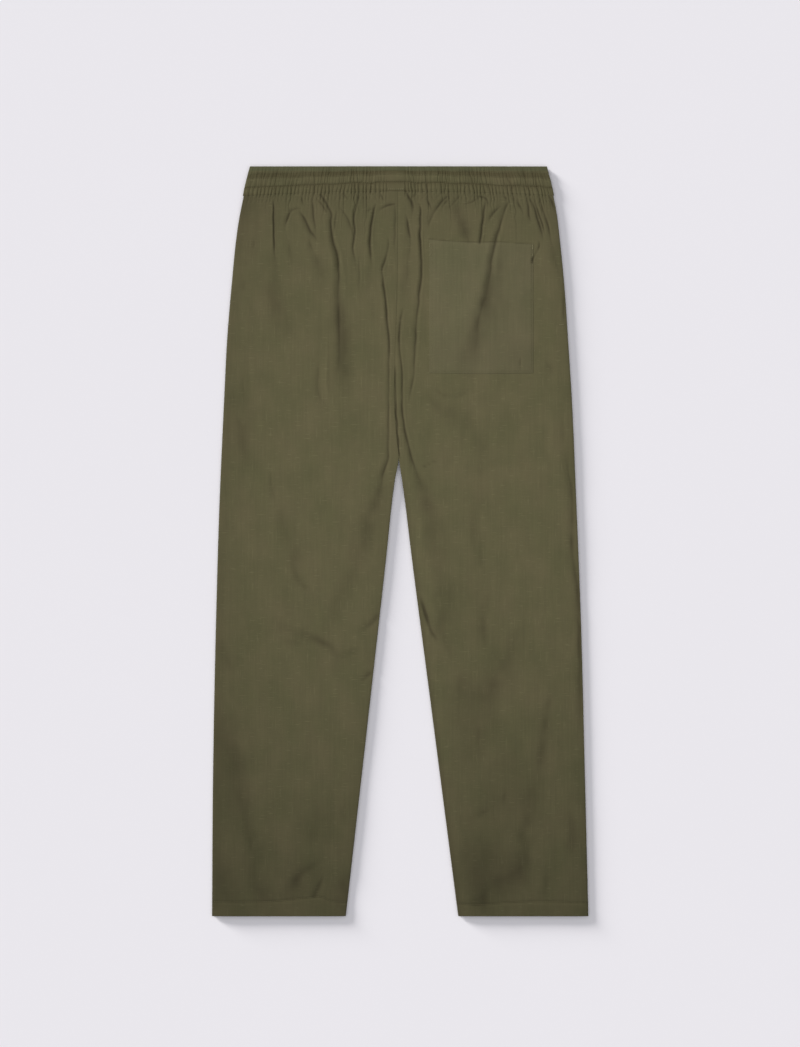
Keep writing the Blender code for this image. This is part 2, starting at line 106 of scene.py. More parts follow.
# A crease: rows of across, down, depth, width, from its upper end. Rows with no depth let it fade out, and a
# negative depth is a ridge.
leftCreases = {
    "sideTuck": ((-177.5, 48, 0.3, 1.2), (-177.2, 58, 1.5, 0.9), (-176.8, 86, 2, 0.9),
        (-176.5, 112, 1.9, 1.1), (-176, 121, 0.9, 1.8), (-175, 134, 0.4, 4), (-174, 165, 0, 6)),
    "sideHollow": ((-185, 154, 0, 6), (-178, 173, 0.7, 8), (-170, 194, 0.8, 8), (-163, 218, 0.5, 8),
        (-157, 250, 0, 8)),
    "shortSlant": ((-151.5, 61, 0.3, 1.6), (-158.5, 75, 1.4, 1.8), (-161.5, 85, 0.4, 2), (-162.5, 92, 0, 2)),
    "lowSlant": ((-158, 98, 0, 3), (-154, 117, 0.6, 4), (-150, 142, 0, 4)),
    "hook": ((-137.5, 60, 0, 1.3), (-146, 60, 1, 1.4), (-153, 63, 0.3, 1.5)),
    "slanting": ((-141.5, 63, 0.3, 2), (-133.5, 74, 1.7, 2.2), (-125, 91, 1.8, 2.4), (-118, 100, 0.6, 3),
        (-115, 107, 0, 3)),
    "blobs": ((-128, 100, 0, 3), (-125, 112, 1.1, 3.2), (-121, 121, 0.7, 4), (-115, 134, 0.9, 5),
        (-111, 159, 0.3, 7), (-108, 187, 0, 7)),
    "nick": ((-137.5, 42, 0.3, 1.3), (-137, 47, 1, 1.4), (-134.5, 57, 0, 1.5)),
    "thinByMain": ((-123.5, 44, 0, 1.3), (-122, 56, 0.9, 1.4), (-120.5, 72, 1.1, 1.5), (-118, 91, 0.3, 1.8),
        (-116.5, 98, 0, 2)),
    "main": ((-111, 40, 0.8, 1.8), (-102, 54, 2.4, 2.1), (-95.5, 70, 2.8, 2.1), (-97, 78, 2.6, 2.1),
        (-95, 96, 3, 2.3), (-91, 114, 3.2, 2.5), (-87.5, 128, 3.3, 2.7), (-86, 145, 3.1, 2.7),
        (-86.5, 163, 2.9, 3.4), (-86.5, 183, 2.7, 4.2), (-86, 196, 2.4, 5.2), (-84, 212, 2, 6.5),
        (-82, 236, 1.8, 7.2), (-82, 264, 1.7, 7.2), (-82, 288, 1.4, 7.2), (-80, 305, 0.8, 7),
        (-76, 326, 0, 7)),
    "mainRidge": ((-101, 205, 0, 3), (-101.5, 243, -0.5, 3), (-102.5, 285, -0.7, 3), (-103, 310, -0.7, 3),
        (-96, 327, -0.6, 3.2), (-89, 341, -0.6, 3.2), (-84, 353, -0.7, 4), (-78, 364, 0, 4)),
    "ridgeShade": ((-113, 250, 0, 3), (-115, 290, 0.6, 3.4), (-113, 322, 0.6, 3.4), (-103, 337, 0.3, 4),
        (-98, 348, 0, 4)),
    "mainBranch": ((-115, 47, 0.2, 1.4), (-109.5, 53, 1.2, 1.5), (-105.5, 60, 0.9, 1.6), (-101, 67, 0, 1.6)),
    "mainLine": ((-86, 190, 0, 2), (-85.5, 208, 0.9, 2), (-85, 236, 0.6, 2.4), (-85.5, 271, 0.4, 2.6),
        (-86, 300, 0, 2.6)),
    "thin": ((-88.5, 63, 0.2, 1.4), (-90.5, 74, 1.1, 1.5), (-92, 86, 0.7, 1.6), (-92.5, 98, 0, 1.6)),
    "nickTwo": ((-79.5, 38, 0.4, 1.3), (-76, 43, 1, 1.5), (-72.5, 49, 0, 1.5)),
    "softBow": ((-84.5, 58, 0.2, 2), (-77.5, 67, 0.8, 2.2), (-71.5, 77, 0.9, 2.4), (-67, 91, 0.4, 2.6),
        (-65, 103, 0, 3)),
    "long": ((-57.5, 42, 0.5, 1.4), (-60, 51, 1, 1.4), (-64, 67, 1.2, 1.5), (-64.5, 78, 1.3, 1.5),
        (-63.5, 91, 1.3, 1.5), (-64.5, 100, 1.4, 1.5), (-66.5, 112, 1.3, 1.6), (-64.5, 128, 0.9, 2.2),
        (-62, 142, 0.4, 3), (-59, 159, 0, 4)),
    "longTail": ((-58, 126, 0, 1.6), (-58, 137, 0.8, 1.7), (-57.5, 159, 0.7, 1.8), (-58, 177, 0, 1.8)),
    "deep": ((-34, 54, 0.4, 1.3), (-36.5, 64, 1.5, 1.4), (-40, 82, 2, 1.5), (-42, 103, 2.1, 1.6),
        (-41.5, 120, 1.5, 1.8), (-40, 138, 0.7, 4), (-41, 170, 0, 7)),
    "fleck": ((-39.5, 59, 0, 1.2), (-43, 61, 0.9, 1.2), (-47, 63, 0, 1.2)),
    "nickThree": ((-27.5, 39, 0.4, 1.5), (-25, 44, 1.1, 1.6), (-21.5, 49, 0, 1.6)),
    "arch": ((-4.5, 52, 0, 1.6), (-13, 54, 1, 1.6), (-22.5, 58, 1.1, 1.6), (-31, 63, 0, 1.6)),
    "seamShadow": ((-8, 53, 0.2, 1.4), (-7, 68, 0.7, 1.4), (-7.5, 103, 0.6, 1.4), (-7.5, 126, 0, 1.4)),
    "bySeam": ((-17.5, 98, 0, 1.4), (-16.5, 110, 0.9, 1.4), (-18, 120, 1, 1.4), (-22, 133, 1.1, 1.5),
        (-25.5, 146, 1.2, 1.5), (-24, 160, 1.6, 1.5), (-21.5, 175, 2, 1.6), (-20, 194, 2.1, 1.6),
        (-18.5, 215, 1.9, 1.6), (-16, 233, 1.5, 1.6), (-15.5, 271, 1.1, 1.6), (-16, 306, 0.9, 1.6),
        (-16, 355, 0.9, 1.7), (-16.5, 390, 1, 1.8), (-17.5, 411, 1.2, 2.2), (-22, 425, 1.5, 3),
        (-27, 446, 1.5, 4.2), (-34, 467, 1.1, 6), (-40, 495, 0.7, 8), (-47, 526, 0.3, 9), (-54, 565, 0, 10)),
    "sideDent": ((-205, 100, 0, 3), (-205, 109, 0.5, 3), (-206, 117, 0, 3)),
    "sideDentTwo": ((-213, 128, 0, 4), (-214, 135, 0.4, 4), (-214, 144, 0, 4)),
    "sideDentThree": ((-217, 159, 0, 4), (-219, 169, 0.5, 4), (-219, 179, 0, 4)),
    "hipDent": ((-221, 292, 0, 3.5), (-219, 313, 0.4, 3.5), (-212, 334, 0, 4)),
    "thighBowl": ((-231, 344, 0, 4), (-223, 362, 0.6, 5), (-220, 383, 0.6, 5), (-217, 404, 0.4, 6),
        (-214, 425, 0, 6)),
    "thighMark": ((-181, 425, 0, 2.2), (-180, 442, 0.6, 2.4), (-178, 459, 0.4, 2.4), (-175.5, 467, 0, 2.4)),
    "thighShade": ((-179, 467, 0, 6), (-168, 484, 0.5, 7), (-157, 516, 0.6, 8), (-146, 551, 0.5, 8),
        (-140, 572, 0, 8)),
    "kneeDip": ((-155, 535, 0, 5), (-149, 560, 0.6, 5), (-143, 577, 0.7, 5), (-133, 588, 0.6, 4),
        (-122, 594, 0, 4)),
    "kneeLong": ((-179, 632, 0, 4), (-164, 645, 0.4, 6), (-146, 652, 0.5, 6), (-129, 658, 0.6, 5.4),
        (-112, 665, 1.1, 4.8), (-102, 670, 1.1, 4.8), (-91, 680, 0.6, 5.5), (-80, 694, 0.6, 7),
        (-70, 708, 0, 8)),
    "kneeUnder": ((-168.5, 663, 0, 4), (-154.5, 667, 0.5, 4), (-141.5, 669, 0.4, 4), (-134.5, 670, 0, 4)),
    "edgeNick": ((-27, 625, 0, 3), (-32.5, 632, 1, 3), (-41, 641, 1.1, 3.4), (-51, 646, 0.3, 3.6)),
    "edgeNickLow": ((-36.5, 709, 0.6, 2.8), (-42.5, 711, 1.1, 2.8), (-49.5, 716, 0.6, 3),
        (-56.5, 722, 0, 3)),
    "kneeMark": ((-53, 677, 0, 5), (-65, 680, 0.4, 5), (-76, 684, 0.3, 5), (-84, 687, 0, 5)),
    "innerShade": ((-46, 467, 0, 5), (-53, 495, 0.6, 8), (-59, 530, 0.8, 9), (-66, 572, 0.6, 9),
        (-87, 607, 0.5, 9), (-94, 635, 0.3, 9), (-98, 663, 0, 9)),
    "shinOuter": ((-261, 652, 0, 5), (-249, 677, 0.4, 6), (-238, 697, 0.5, 6), (-230, 711, 0, 6)),
    "shinBand": ((-251, 755, 0, 8), (-240, 805, 0.4, 9), (-228, 845, 0.6, 8), (-217, 894, 0.9, 6),
        (-212, 929, 0.9, 6), (-207, 957, 0.6, 7), (-205, 999, 0.4, 7), (-205, 1022, 0, 7)),
    "shinTick": ((-209, 940, 0, 2), (-207.5, 950, 0.7, 2.2), (-207.5, 961, 0, 2.2)),
    "calfHollow": ((-109, 884, 0, 12), (-115, 908, 0.5, 14), (-116, 936, 0.6, 14), (-121, 957, 0, 12)),
    "calfSide": ((-77, 882, 0, 5), (-79, 908, 0.5, 6), (-81, 929, 0, 6)),
    "hemPucker": ((-112.5, 973, 0.2, 2.6), (-123, 980, 1.1, 3.6), (-137, 989, 1.2, 5), (-149, 1005, 1, 7),
        (-157, 1020, 0.5, 7)),
    "hemPuckerTwo": ((-108, 996, 0.2, 3), (-114, 1008, 1, 3.6), (-119, 1020, 0.9, 3.8),
        (-122, 1027, 0, 3.6)),
    "hemCorner": ((-66, 988, 0, 6), (-76, 1006, 1.2, 8), (-84, 1023, 0.9, 8)),
    "hemLeftDark": ((-252, 955, 0, 8), (-249, 985, 0.5, 9), (-245, 1017, 0.6, 9)),
    "hemWave": ((-202, 988, 0, 7), (-198, 1010, 0.7, 8), (-189, 1026, 0.5, 8)),
}
rightCreases = {
    "seamStart": ((7.5, 34, 0.6, 1.5), (11, 42, 1.6, 1.8), (16.5, 51, 1.7, 1.9), (17.5, 64, 0.5, 2),
        (16.5, 71, 0, 2)),
    "seamHook": ((24, 38, 0, 1.3), (19.5, 42, 0.9, 1.4), (16, 46, 0, 1.4)),
    "besideSeam": ((7.5, 67, 0, 1.5), (10.5, 79, 1.6, 1.6), (12.5, 93, 1.7, 1.8), (14.5, 107, 0.6, 2.8),
        (12, 128, 0.4, 4), (10, 156, 0.5, 4), (5, 187, 0, 4)),
    "deep": ((27.5, 54, 0.6, 1.4), (28.8, 65, 2.2, 1.5), (28.3, 81, 2.5, 1.5), (28.3, 103, 2.6, 1.5),
        (29.2, 126, 2.5, 1.6), (30.5, 144, 2.2, 1.7), (29, 163, 2.1, 1.9), (26.5, 183, 1.7, 2.1),
        (23, 215, 1.3, 2.2), (21.5, 245, 1.2, 2.3), (20, 271, 1.1, 2), (18.5, 296, 0.9, 1.8),
        (15, 313, 0.8, 1.8), (12.5, 326, 0.4, 1.8), (11, 333, 0, 2)),
    "crotchLine": ((4, 196, 0, 2), (1, 212, 0.8, 1.9), (-0.5, 236, 1.2, 1.8), (-0.5, 257, 1.4, 1.5),
        (2, 280, 1.6, 1.5), (3, 306, 1.6, 1.5), (2.5, 327, 1.5, 1.5), (4, 348, 1.4, 1.6),
        (6.5, 368, 1.4, 1.8), (11, 386, 1.9, 2.2), (17.5, 413, 1.6, 2.8), (25, 434, 1.3, 4),
        (33, 456, 1.2, 6), (39, 478, 1, 7), (43, 509, 0.6, 9), (50, 551, 0, 11)),
    "crotchSide": ((-6.5, 276, 0, 1.3), (-6.5, 290, 1.1, 1.3), (-6.3, 315, 1.4, 1.3), (-5.3, 345, 1.6, 1.3),
        (-3.6, 378, 1.6, 1.4), (-1.2, 402, 1.2, 1.5), (0.5, 412, 0, 1.5)),
    "slantFleck": ((37, 44, 0.3, 1.4), (41.5, 53, 1.1, 1.5), (45, 63, 0, 1.5)),
    "fan": ((68.5, 41, 0.4, 1.6), (55.5, 53, 1.4, 1.8), (47.5, 64, 1.3, 2), (41.5, 77, 0.9, 2.2),
        (38.5, 88, 0, 2.4)),
    "fanTwo": ((70.5, 44, 0.2, 1.4), (64, 51, 0.9, 1.4), (58, 58, 0, 1.4)),
    "fanThree": ((83, 42, 0.4, 1.4), (75.5, 51, 1, 1.5), (67, 60, 0, 1.5)),
    "broad": ((75, 51, 0, 4), (81, 64, 1.7, 5), (87, 81, 1.8, 5.5), (92, 95, 1.4, 5), (96, 104, 0.6, 4),
        (98, 112, 0, 4)),
    "archTwo": ((114.5, 43, 0, 1.4), (102, 49, 1, 1.5), (86.5, 54, 0, 1.4)),
    "toMouth": ((120, 50, 0.3, 1.4), (117.5, 58, 1.6, 1.5), (115.5, 78, 2.2, 1.6), (113.5, 95, 2.3, 1.6),
        (112, 106, 2, 1.6), (111.5, 111, 0, 1.8)),
    "archThree": ((102, 42, 0, 1.4), (113, 43, 1.1, 1.4), (121, 47, 1.1, 1.5), (123, 52, 0.9, 1.5),
        (121, 60, 0, 1.5)),
    "slantTwo": ((140.5, 56, 0.2, 1.6), (132, 64, 1.2, 1.8), (127, 71, 1.1, 2), (123.5, 79, 0, 2)),
    "overPocket": ((153, 49, 0.4, 1.7), (146.5, 61, 1.5, 2), (142.5, 74, 1.8, 2.1), (138.5, 89, 2.1, 2.3),
        (133, 108, 2.4, 2.6), (130, 121, 2.5, 2.8), (127.5, 135, 2.6, 3.2), (125, 154, 2.3, 4),
        (121, 177, 1.9, 5), (116, 195, 1.6, 6), (111, 212, 1.4, 6.5), (106, 228, 1.2, 7), (101, 250, 0.9, 8),
        (95, 268, 0.7, 9), (89, 285, 0.4, 10), (84, 306, 0, 11)),
    "overPocketRight": ((141, 122, 0, 5), (137, 140, 0.5, 6), (134, 156, 0.8, 6.5), (131, 172, 0.8, 7),
        (127, 195, 0.7, 8), (121, 220, 0.5, 8), (112, 250, 0.3, 9), (102, 280, 0, 10)),
    "overPocketTwin": ((121.5, 182, 0, 3.2), (114.5, 197, 0.7, 3.2), (109, 215, 0.7, 3.4),
        (107.5, 243, 0.4, 3.6), (103.5, 266, 0, 4)),
    "cutTwo": ((163, 47, 0.3, 1.4), (167.5, 57, 1.2, 1.5), (172.5, 68, 0, 1.5)),
    "pastPocket": ((178, 44, 0.4, 1.3), (180, 57, 1.1, 1.4), (181, 70, 1, 1.4), (183.5, 79, 0, 1.4)),
    "double": ((182.5, 46, 0.3, 1.3), (187.5, 58, 1.1, 1.4), (192, 72, 1.3, 1.4), (195.5, 85, 1.2, 1.5),
        (199.5, 101, 0.3, 2), (200.5, 107, 0, 2)),
    "doubleTwin": ((187, 47, 0.3, 1.4), (191.5, 60, 1.1, 1.5), (196.5, 74, 1.1, 1.5), (200, 86, 0.8, 1.6),
        (202.5, 98, 0, 1.6)),
    "bySide": ((195, 45, 0.4, 1.4), (199, 60, 1.2, 1.5), (204, 74, 1.3, 1.6), (209, 91, 1, 1.8),
        (211.5, 106, 0.6, 2.6), (217, 124, 0.4, 4), (221, 140, 0, 4)),
    "bySideTwin": ((209, 42, 0.3, 1.4), (212.5, 51, 1.1, 1.5), (217.5, 66, 0, 1.5)),
    "shortCut": ((144.5, 41, 0.2, 1.3), (148, 44, 1, 1.4), (153, 48, 0, 1.4)),
    "pocketCorner": ((194.3, 107, 0.5, 1.2), (194.3, 113, 1.4, 1.2), (191.5, 118.6, 0.6, 1.2),
        (187.3, 125.6, 0.7, 1.2), (185, 130, 1.9, 1.2), (184.5, 134, 1.6, 1.2), (184.5, 138, 0, 1.2)),
    "sideHollow": ((210, 107, 0, 3.5), (214, 124, 0.6, 4), (220, 142, 0.6, 4), (224, 159, 0, 4)),
    "sideEdge": ((229, 169, 0, 1.4), (229.5, 187, 0.8, 1.4), (229.5, 208, 0.8, 1.4), (229.5, 219, 0, 1.4)),
    "hipDent": ((203, 267, 0, 4), (208, 280, 0.5, 4.5), (213, 288, 0.3, 4), (214, 295, 0, 4)),
    "mottleDash": ((167.5, 288, 0, 2), (168.5, 274, 0.6, 2), (168.5, 266, 0, 2)),
    "softArc": ((50, 310, 0, 3), (54, 317, 0.5, 3), (70, 322, 0.5, 3.2), (92, 317, 0.3, 3), (98, 308, 0, 3)),
    "softRing": ((33, 308, 0, 4), (45, 330, 0.5, 5), (63, 343, 0.6, 6), (77, 350, 0.6, 7), (92, 363, 0.5, 8),
        (98, 382, 0.3, 9), (98, 402, 0, 9)),
    "smallCut": ((26, 422, 0, 1.4), (33, 421, 0.5, 1.5), (44.5, 415, 0.4, 1.6), (57, 411, 0, 1.6)),
    "thighBand": ((109, 369, 0, 6), (117, 397, 0.4, 6), (115, 436, 0.5, 7), (109, 467, 0.4, 7),
        (103, 495, 0.4, 6), (109, 530, 0.6, 5), (113, 551, 0.5, 4), (115, 565, 0, 4)),
    "sideTrough": ((224, 324, 0, 4), (227, 369, 0.5, 5), (232, 411, 0.7, 4.5), (239, 446, 1, 3.5),
        (241, 481, 1.1, 3.4), (241, 523, 1.2, 3.4), (243, 554, 1.3, 3.2), (248, 586, 1.3, 3),
        (250, 621, 1.2, 3), (251, 663, 1.2, 3), (252, 698, 1.1, 3), (252, 733, 1, 3.4), (252, 768, 0.6, 4),
        (252, 796, 0, 4)),
    "innerEdge": ((29, 602, 0.2, 1.6), (33.5, 618, 1.1, 1.6), (39, 635, 1.4, 1.7), (43, 649, 1, 1.8),
        (48.5, 659, 0.6, 1.8), (53, 666, 0, 1.8)),
    "innerShadow": ((50, 495, 0, 9), (54, 537, 0.4, 9), (60, 579, 0.5, 9), (63, 614, 0.6, 8),
        (58, 635, 0.8, 7), (57, 646, 0.7, 6), (66, 670, 0.6, 6), (73, 688, 0.3, 5), (77, 702, 0, 5)),
    "kneeTrough": ((123, 596, 0, 3.5), (121, 614, 0.6, 4.5), (118, 635, 0.7, 4.5), (117, 652, 0.7, 4.5),
        (119, 670, 0.3, 5), (120, 680, 0, 5)),
    "kneeHollow": ((182, 641, 0, 9), (161, 663, 0.5, 10), (147, 684, 0.6, 11), (143, 708, 1, 9),
        (129, 726, 1, 9), (117, 744, 0.5, 9), (109, 758, 0, 9)),
    "kneeHollowTwo": ((108, 714, 0, 7), (92, 719, 0.7, 9), (84, 733, 0.5, 9), (77, 750, 0, 9)),
    "shinTrough": ((218, 737, 0, 3.5), (208, 753, 0.7, 4.6), (204, 775, 1.1, 5.4), (202, 800, 1.2, 5.4),
        (199, 826, 1, 5.4), (196, 845, 0.7, 6), (190, 866, 0.8, 8), (183, 887, 0.9, 8), (178, 912, 0.9, 8),
        (172, 943, 1, 7), (171, 971, 0.7, 7), (169, 999, 0.3, 8), (168, 1017, 0, 8)),
    "shinMark": ((110.5, 778, 0, 3), (110, 796, 0.4, 3), (110.5, 814, 0, 3)),
    "calfStreaks": ((151, 870, 0, 2), (146.5, 882, 0.6, 2), (144, 896, 0, 2)),
    "calfCut": ((126, 900, 0, 3), (119, 904, 0.5, 3.2), (110, 909, 0.5, 3.6), (101, 912, 0, 3.6)),
    "hemHollow": ((112, 936, 0, 10), (106, 960, 0.6, 12), (106, 988, 0.5, 13), (110, 1010, 0.8, 13),
        (111, 1029, 0.9, 12)),
    "hemHollowTwo": ((176, 962, 0, 8), (172, 984, 0.5, 8), (158, 994, 0.7, 7), (140, 1001, 0.7, 7),
        (124, 1004, 0, 8)),
    "hemEdge": ((239, 896, 0, 5), (241, 922, 0.7, 5), (241, 950, 0.7, 6), (238, 968, 0, 6)),
    "hemDart": ((204, 982, 0, 5), (206, 999, 0.6, 5), (203, 1017, 0.5, 5), (201, 1029, 0, 5)),
}

# broad hollows, dipped and painted with shade: across, down of the middle, half width, half length, turn
# in degrees, dip in mm, shade
leftHollows = {
    "hipSide": (-224, 362, 26, 60, 0, 0.35, 0.14),
    "calfSide": (-240, 838, 22, 82, -9, 0.5, 0.20),
    "hemMiddle": (-128, 1000, 30, 26, 20, 0.3, 0.12),
    "waistSide": (-216, 62, 24, 60, 0, 0.2, 0.13),
    "tuckFoot": (-173, 178, 12, 52, -8, 0.4, 0.12),
    "kneeTop": (-160, 622, 22, 30, 0, 0.2, 0.08),
    "hemAll": (-165, 1000, 95, 60, 0, 0.0, 0.08),
}
rightHollows = {
    "knee": (109, 625, 38, 74, 0, 0.2, 0.09),
    "shinUpper": (109, 768, 31, 66, 8, 0.5, 0.24),
    "shin": (152, 870, 34, 56, 8, 0.4, 0.17),
    "calf": (118, 918, 28, 40, 0, 0.3, 0.12),
    "hem": (131, 986, 43, 40, 0, 0.8, 0.33),
    "hemFoot": (109, 1027, 13, 13, 0, 0.5, 0.26),
}
backCreases = {"left": leftCreases, "right": rightCreases}
backHollows = {"left": leftHollows, "right": rightHollows}
hollowBend = {"reach": 14, "cells": (22, 30, 97)}  # mm by which their outlines stray; cells in mm, and seed
lattice = {"points": 400, "startAcross": 200.0, "startDown": 20.0}  # the starts keep places above 0


def smoothLine(at, table, column=1):
    # cubic pieces through the table's points; each point's slope is the mean of its neighbouring stretches
    stations = np.array([row[0] for row in table], dtype=float)
    values = np.array([row[column] for row in table], dtype=float)
    slopes = np.gradient(values, stations)
    at = np.clip(at, stations[0], stations[-1])
    first = np.clip(np.searchsorted(stations, at, side="right") - 1, 0, len(stations) - 2)
    span = stations[first + 1] - stations[first]
    t = (at - stations[first]) / span
    rise = (1 + 2 * t) * (1 - t) ** 2 * values[first] + t * t * (3 - 2 * t) * values[first + 1]
    return rise + span * (t * (1 - t) ** 2 * slopes[first] - t * t * (1 - t) * slopes[first + 1])


def ease(share):
    # 3 s^2 - 2 s^3: from 0 to 1 with level ends
    share = np.clip(share, 0.0, 1.0)
    return share * share * (3 - 2 * share)


def rounded(distance, width):
    # quarter ellipse: 0 at an edge, 1 from width inwards
    share = np.clip(distance / width, 0.0, 1.0)
    return np.sqrt(1 - (1 - share) ** 2)


def turned(edge, ends, edgeWidth, endWidth):
    # 1 on the rim of a piece, 0 from the two widths inwards
    return 1 - np.minimum(rounded(edge, edgeWidth), rounded(ends, endWidth))


def bell(distance, width):
    # exp(-(distance / width)^2): 1 on a line, about a third one width beside it
    return np.exp(-(distance / width) ** 2)


def strip(distance, size):
    # painted shade in a strip along a line: its shade x the bell of its reach
    return size[0] * bell(distance, size[1])


def softNoise(across, down, cellAcross, cellDown, seed):
    # random heights from 0 to 1 on a lattice of cells, eased between the four nearest
    heights = np.random.RandomState(seed).rand(lattice["points"], lattice["points"])
    u, v = across / cellAcross + lattice["startAcross"], down / cellDown + lattice["startDown"]
    i, j = (np.floor(place).astype(int) % (lattice["points"] - 1) for place in (u, v))
    s, t = ease(u - np.floor(u)), ease(v - np.floor(v))
    upper = heights[i, j] * (1 - s) + heights[i + 1, j] * s
    lower = heights[i, j + 1] * (1 - s) + heights[i + 1, j + 1] * s
    return upper * (1 - t) + lower * t


creaseForm = {
    "step": 2.5,  # mm between the points of a crease's path
    "reach": 4.5,  # widths beside its line at which a crease has died away
    "litHeading": (0.6, 0.8),  # across and down: tells a crease's two walls apart
    "litWall": 1.2,  # the wall that faces away from the light is this much wider than the width;
    "farWall": 0.85, "farWiden": 0.16, "farSpan": 5,  # the far one this much, and more for each mm past 2
    "crest": 0.16, "crestPlace": 2.3, "crestWidth": 1.2,  # low crests beside it: shares of depth and width
    "sharp": 1.15, "soft": 1.8,  # powers of the fall for a narrow crease and for a wide hollow
    "softFrom": 1.5, "wideFrom": 2, "widens": 4,  # mm of width from which they go over, and over which
    "fullShade": 1.8,  # mm of depth at which a crease's line is darkest
    "core": 1.2, "coreShade": 1.1,  # half width of the dark line in mm, and its shade
    "coreTo": 1.4, "coreFade": 2.4,  # mm: it is full up to this width, and goes from wider creases
    "coreBelow": 1.4, "coarseFrom": 420, "coarseRun": 80,  # mm more on the legs, where the mesh is coarser
    "relief": 0.85,  # share of a row's depth that its height takes
    "softShade": 0.32, "wideShade": 0.36, "wideRelief": 0.30,  # wide ones: more shade and less relief
    "shadeReach": 1.1,
    "uneven": 0.5, "unevenCells": (12, 17, 91),  # share by which depth strays; cells in mm, and seed
    "stray": 1.5, "strayCells": ((9, 12, 93), (9, 12, 95)),  # mm by which its line strays across and down
}


def creasePath(rows):
    # the rows joined smoothly: place and size of each point as functions of the length run so far
    rows = np.array(rows, dtype=float)
    run = np.concatenate([[0.0], np.cumsum(np.hypot(*np.diff(rows[:, :2], axis=0).T))])
    at = np.linspace(0.0, run[-1], max(4, int(run[-1] / creaseForm["step"])))
    place = [smoothLine(at, np.column_stack([run, rows[:, k]])) for k in (0, 1)]
    size = [np.interp(at, run, rows[:, k]) for k in (2, 3)]
    return np.column_stack(place + size)


def creaseField(across, down, creases):
    # o = distance from the path / width, by side; height -depth exp(-o^p) with a low crest beside it;
    # painted
    # shade by depth: a narrow bell on the line, which wide hollows lack, and a wide one. Lines and depths
    # stray.
    form = creaseForm
    shape = across.shape
    strays = [form["stray"] * (softNoise(across, down, *cells) - 0.5) for cells in form["strayCells"]]
    uneven = (1 + form["uneven"] * (2 * softNoise(across, down, *form["unevenCells"]) - 1)).ravel()
    across, down = (across + strays[0]).ravel(), (down + strays[1]).ravel()
    relief, shade = np.zeros_like(across), np.zeros_like(across)
    for rows in creases.values():
        path = creasePath(rows)
        reach = form["reach"] * path[:, 3].max()
        low, high = path[:, :2].min(0) - reach, path[:, :2].max(0) + reach
        near = np.flatnonzero((across > low[0]) & (across < high[0]) & (down > low[1]) & (down < high[1]))
        if not len(near):
            continue
        start, step = path[:-1, :2], np.diff(path[:, :2], axis=0)
        toX = across[near, None] - start[:, 0]
        toY = down[near, None] - start[:, 1]
        along = np.clip((toX * step[:, 0] + toY * step[:, 1]) / (step ** 2).sum(1), 0.0, 1.0)
        offX, offY = toX - along * step[:, 0], toY - along * step[:, 1]
        gap = np.hypot(offX, offY)
        best = gap.argmin(1)
        pick = (np.arange(len(near)), best)
        place = best + along[pick]
        depth = np.interp(place, np.arange(len(path)), path[:, 2]) * uneven[near]
        width = np.interp(place, np.arange(len(path)), path[:, 3])
        lean = np.sign(form["litHeading"][1] * step[:, 1].sum() - form["litHeading"][0] * step[:, 0].sum())
        side = np.sign((offX * step[:, 1] - offY * step[:, 0])[pick]) * lean
        farWall = form["farWall"] + form["farWiden"] * np.clip(width - form["wideFrom"], 0, form["farSpan"])
        gap = gap[pick]
        o = gap / (width * np.where(side < 0, form["litWall"], farWall))
        softer, wide = (ease((width - form[key]) / form["widens"]) for key in ("softFrom", "wideFrom"))
        power = form["sharp"] + (form["soft"] - form["sharp"]) * softer
        relief[near] += depth * (form["relief"] - form["wideRelief"] * wide) * (
            form["crest"] * bell(o - form["crestPlace"], form["crestWidth"]) - np.exp(-o ** power))
        half = form["core"] + form["coreBelow"] * ease((down[near] - form["coarseFrom"]) / form["coarseRun"])
        core = bell(np.maximum(width - form["coreTo"], 0), form["coreFade"]) * bell(gap, half)
        broad = (form["softShade"] + form["wideShade"] * wide) * bell(o, form["shadeReach"])
        shade[near] += np.clip(depth / form["fullShade"], 0, 1) * (form["coreShade"] * core + broad)
    return relief.reshape(shape), np.clip(shade, 0, 1).reshape(shape)


def hollowField(across, down, hollows):
    # r = distance from the middle in half widths and half lengths; height -dip exp(-r^4), painted shade
    # exp(-r^4)
    relief, shade = np.zeros_like(across), np.zeros_like(across)
    bend = hollowBend["reach"] * (softNoise(across, down, *hollowBend["cells"]) - 0.5)
    for middleAcross, middleDown, halfWidth, halfLength, turn, dip, dark in hollows.values():
        cos, sin = np.cos(np.radians(turn)), np.sin(np.radians(turn))
        offX, offY = across + bend - middleAcross, down + bend - middleDown
        r = np.hypot((offX * cos + offY * sin) / halfWidth, (offY * cos - offX * sin) / halfLength)
        fall = np.exp(-r ** 4)
        relief, shade = relief - dip * fall, shade + dark * fall
    return relief, shade


def seamDown(across):
    # down of the waist seam: a shallow parabola, deeper at the sides
    return garment["bandDepth"] + garment["bandBow"] * (across / garment["halfWaist"]) ** 2


def bandMiddle(down):
    # half the sum of the two side edges
    return (smoothLine(down, sideEdges, 1) + smoothLine(down, sideEdges, 2)) / 2


def bandHalf(down):
    # half the distance between the two side edges
    return (smoothLine(down, sideEdges, 2) - smoothLine(down, sideEdges, 1)) / 2


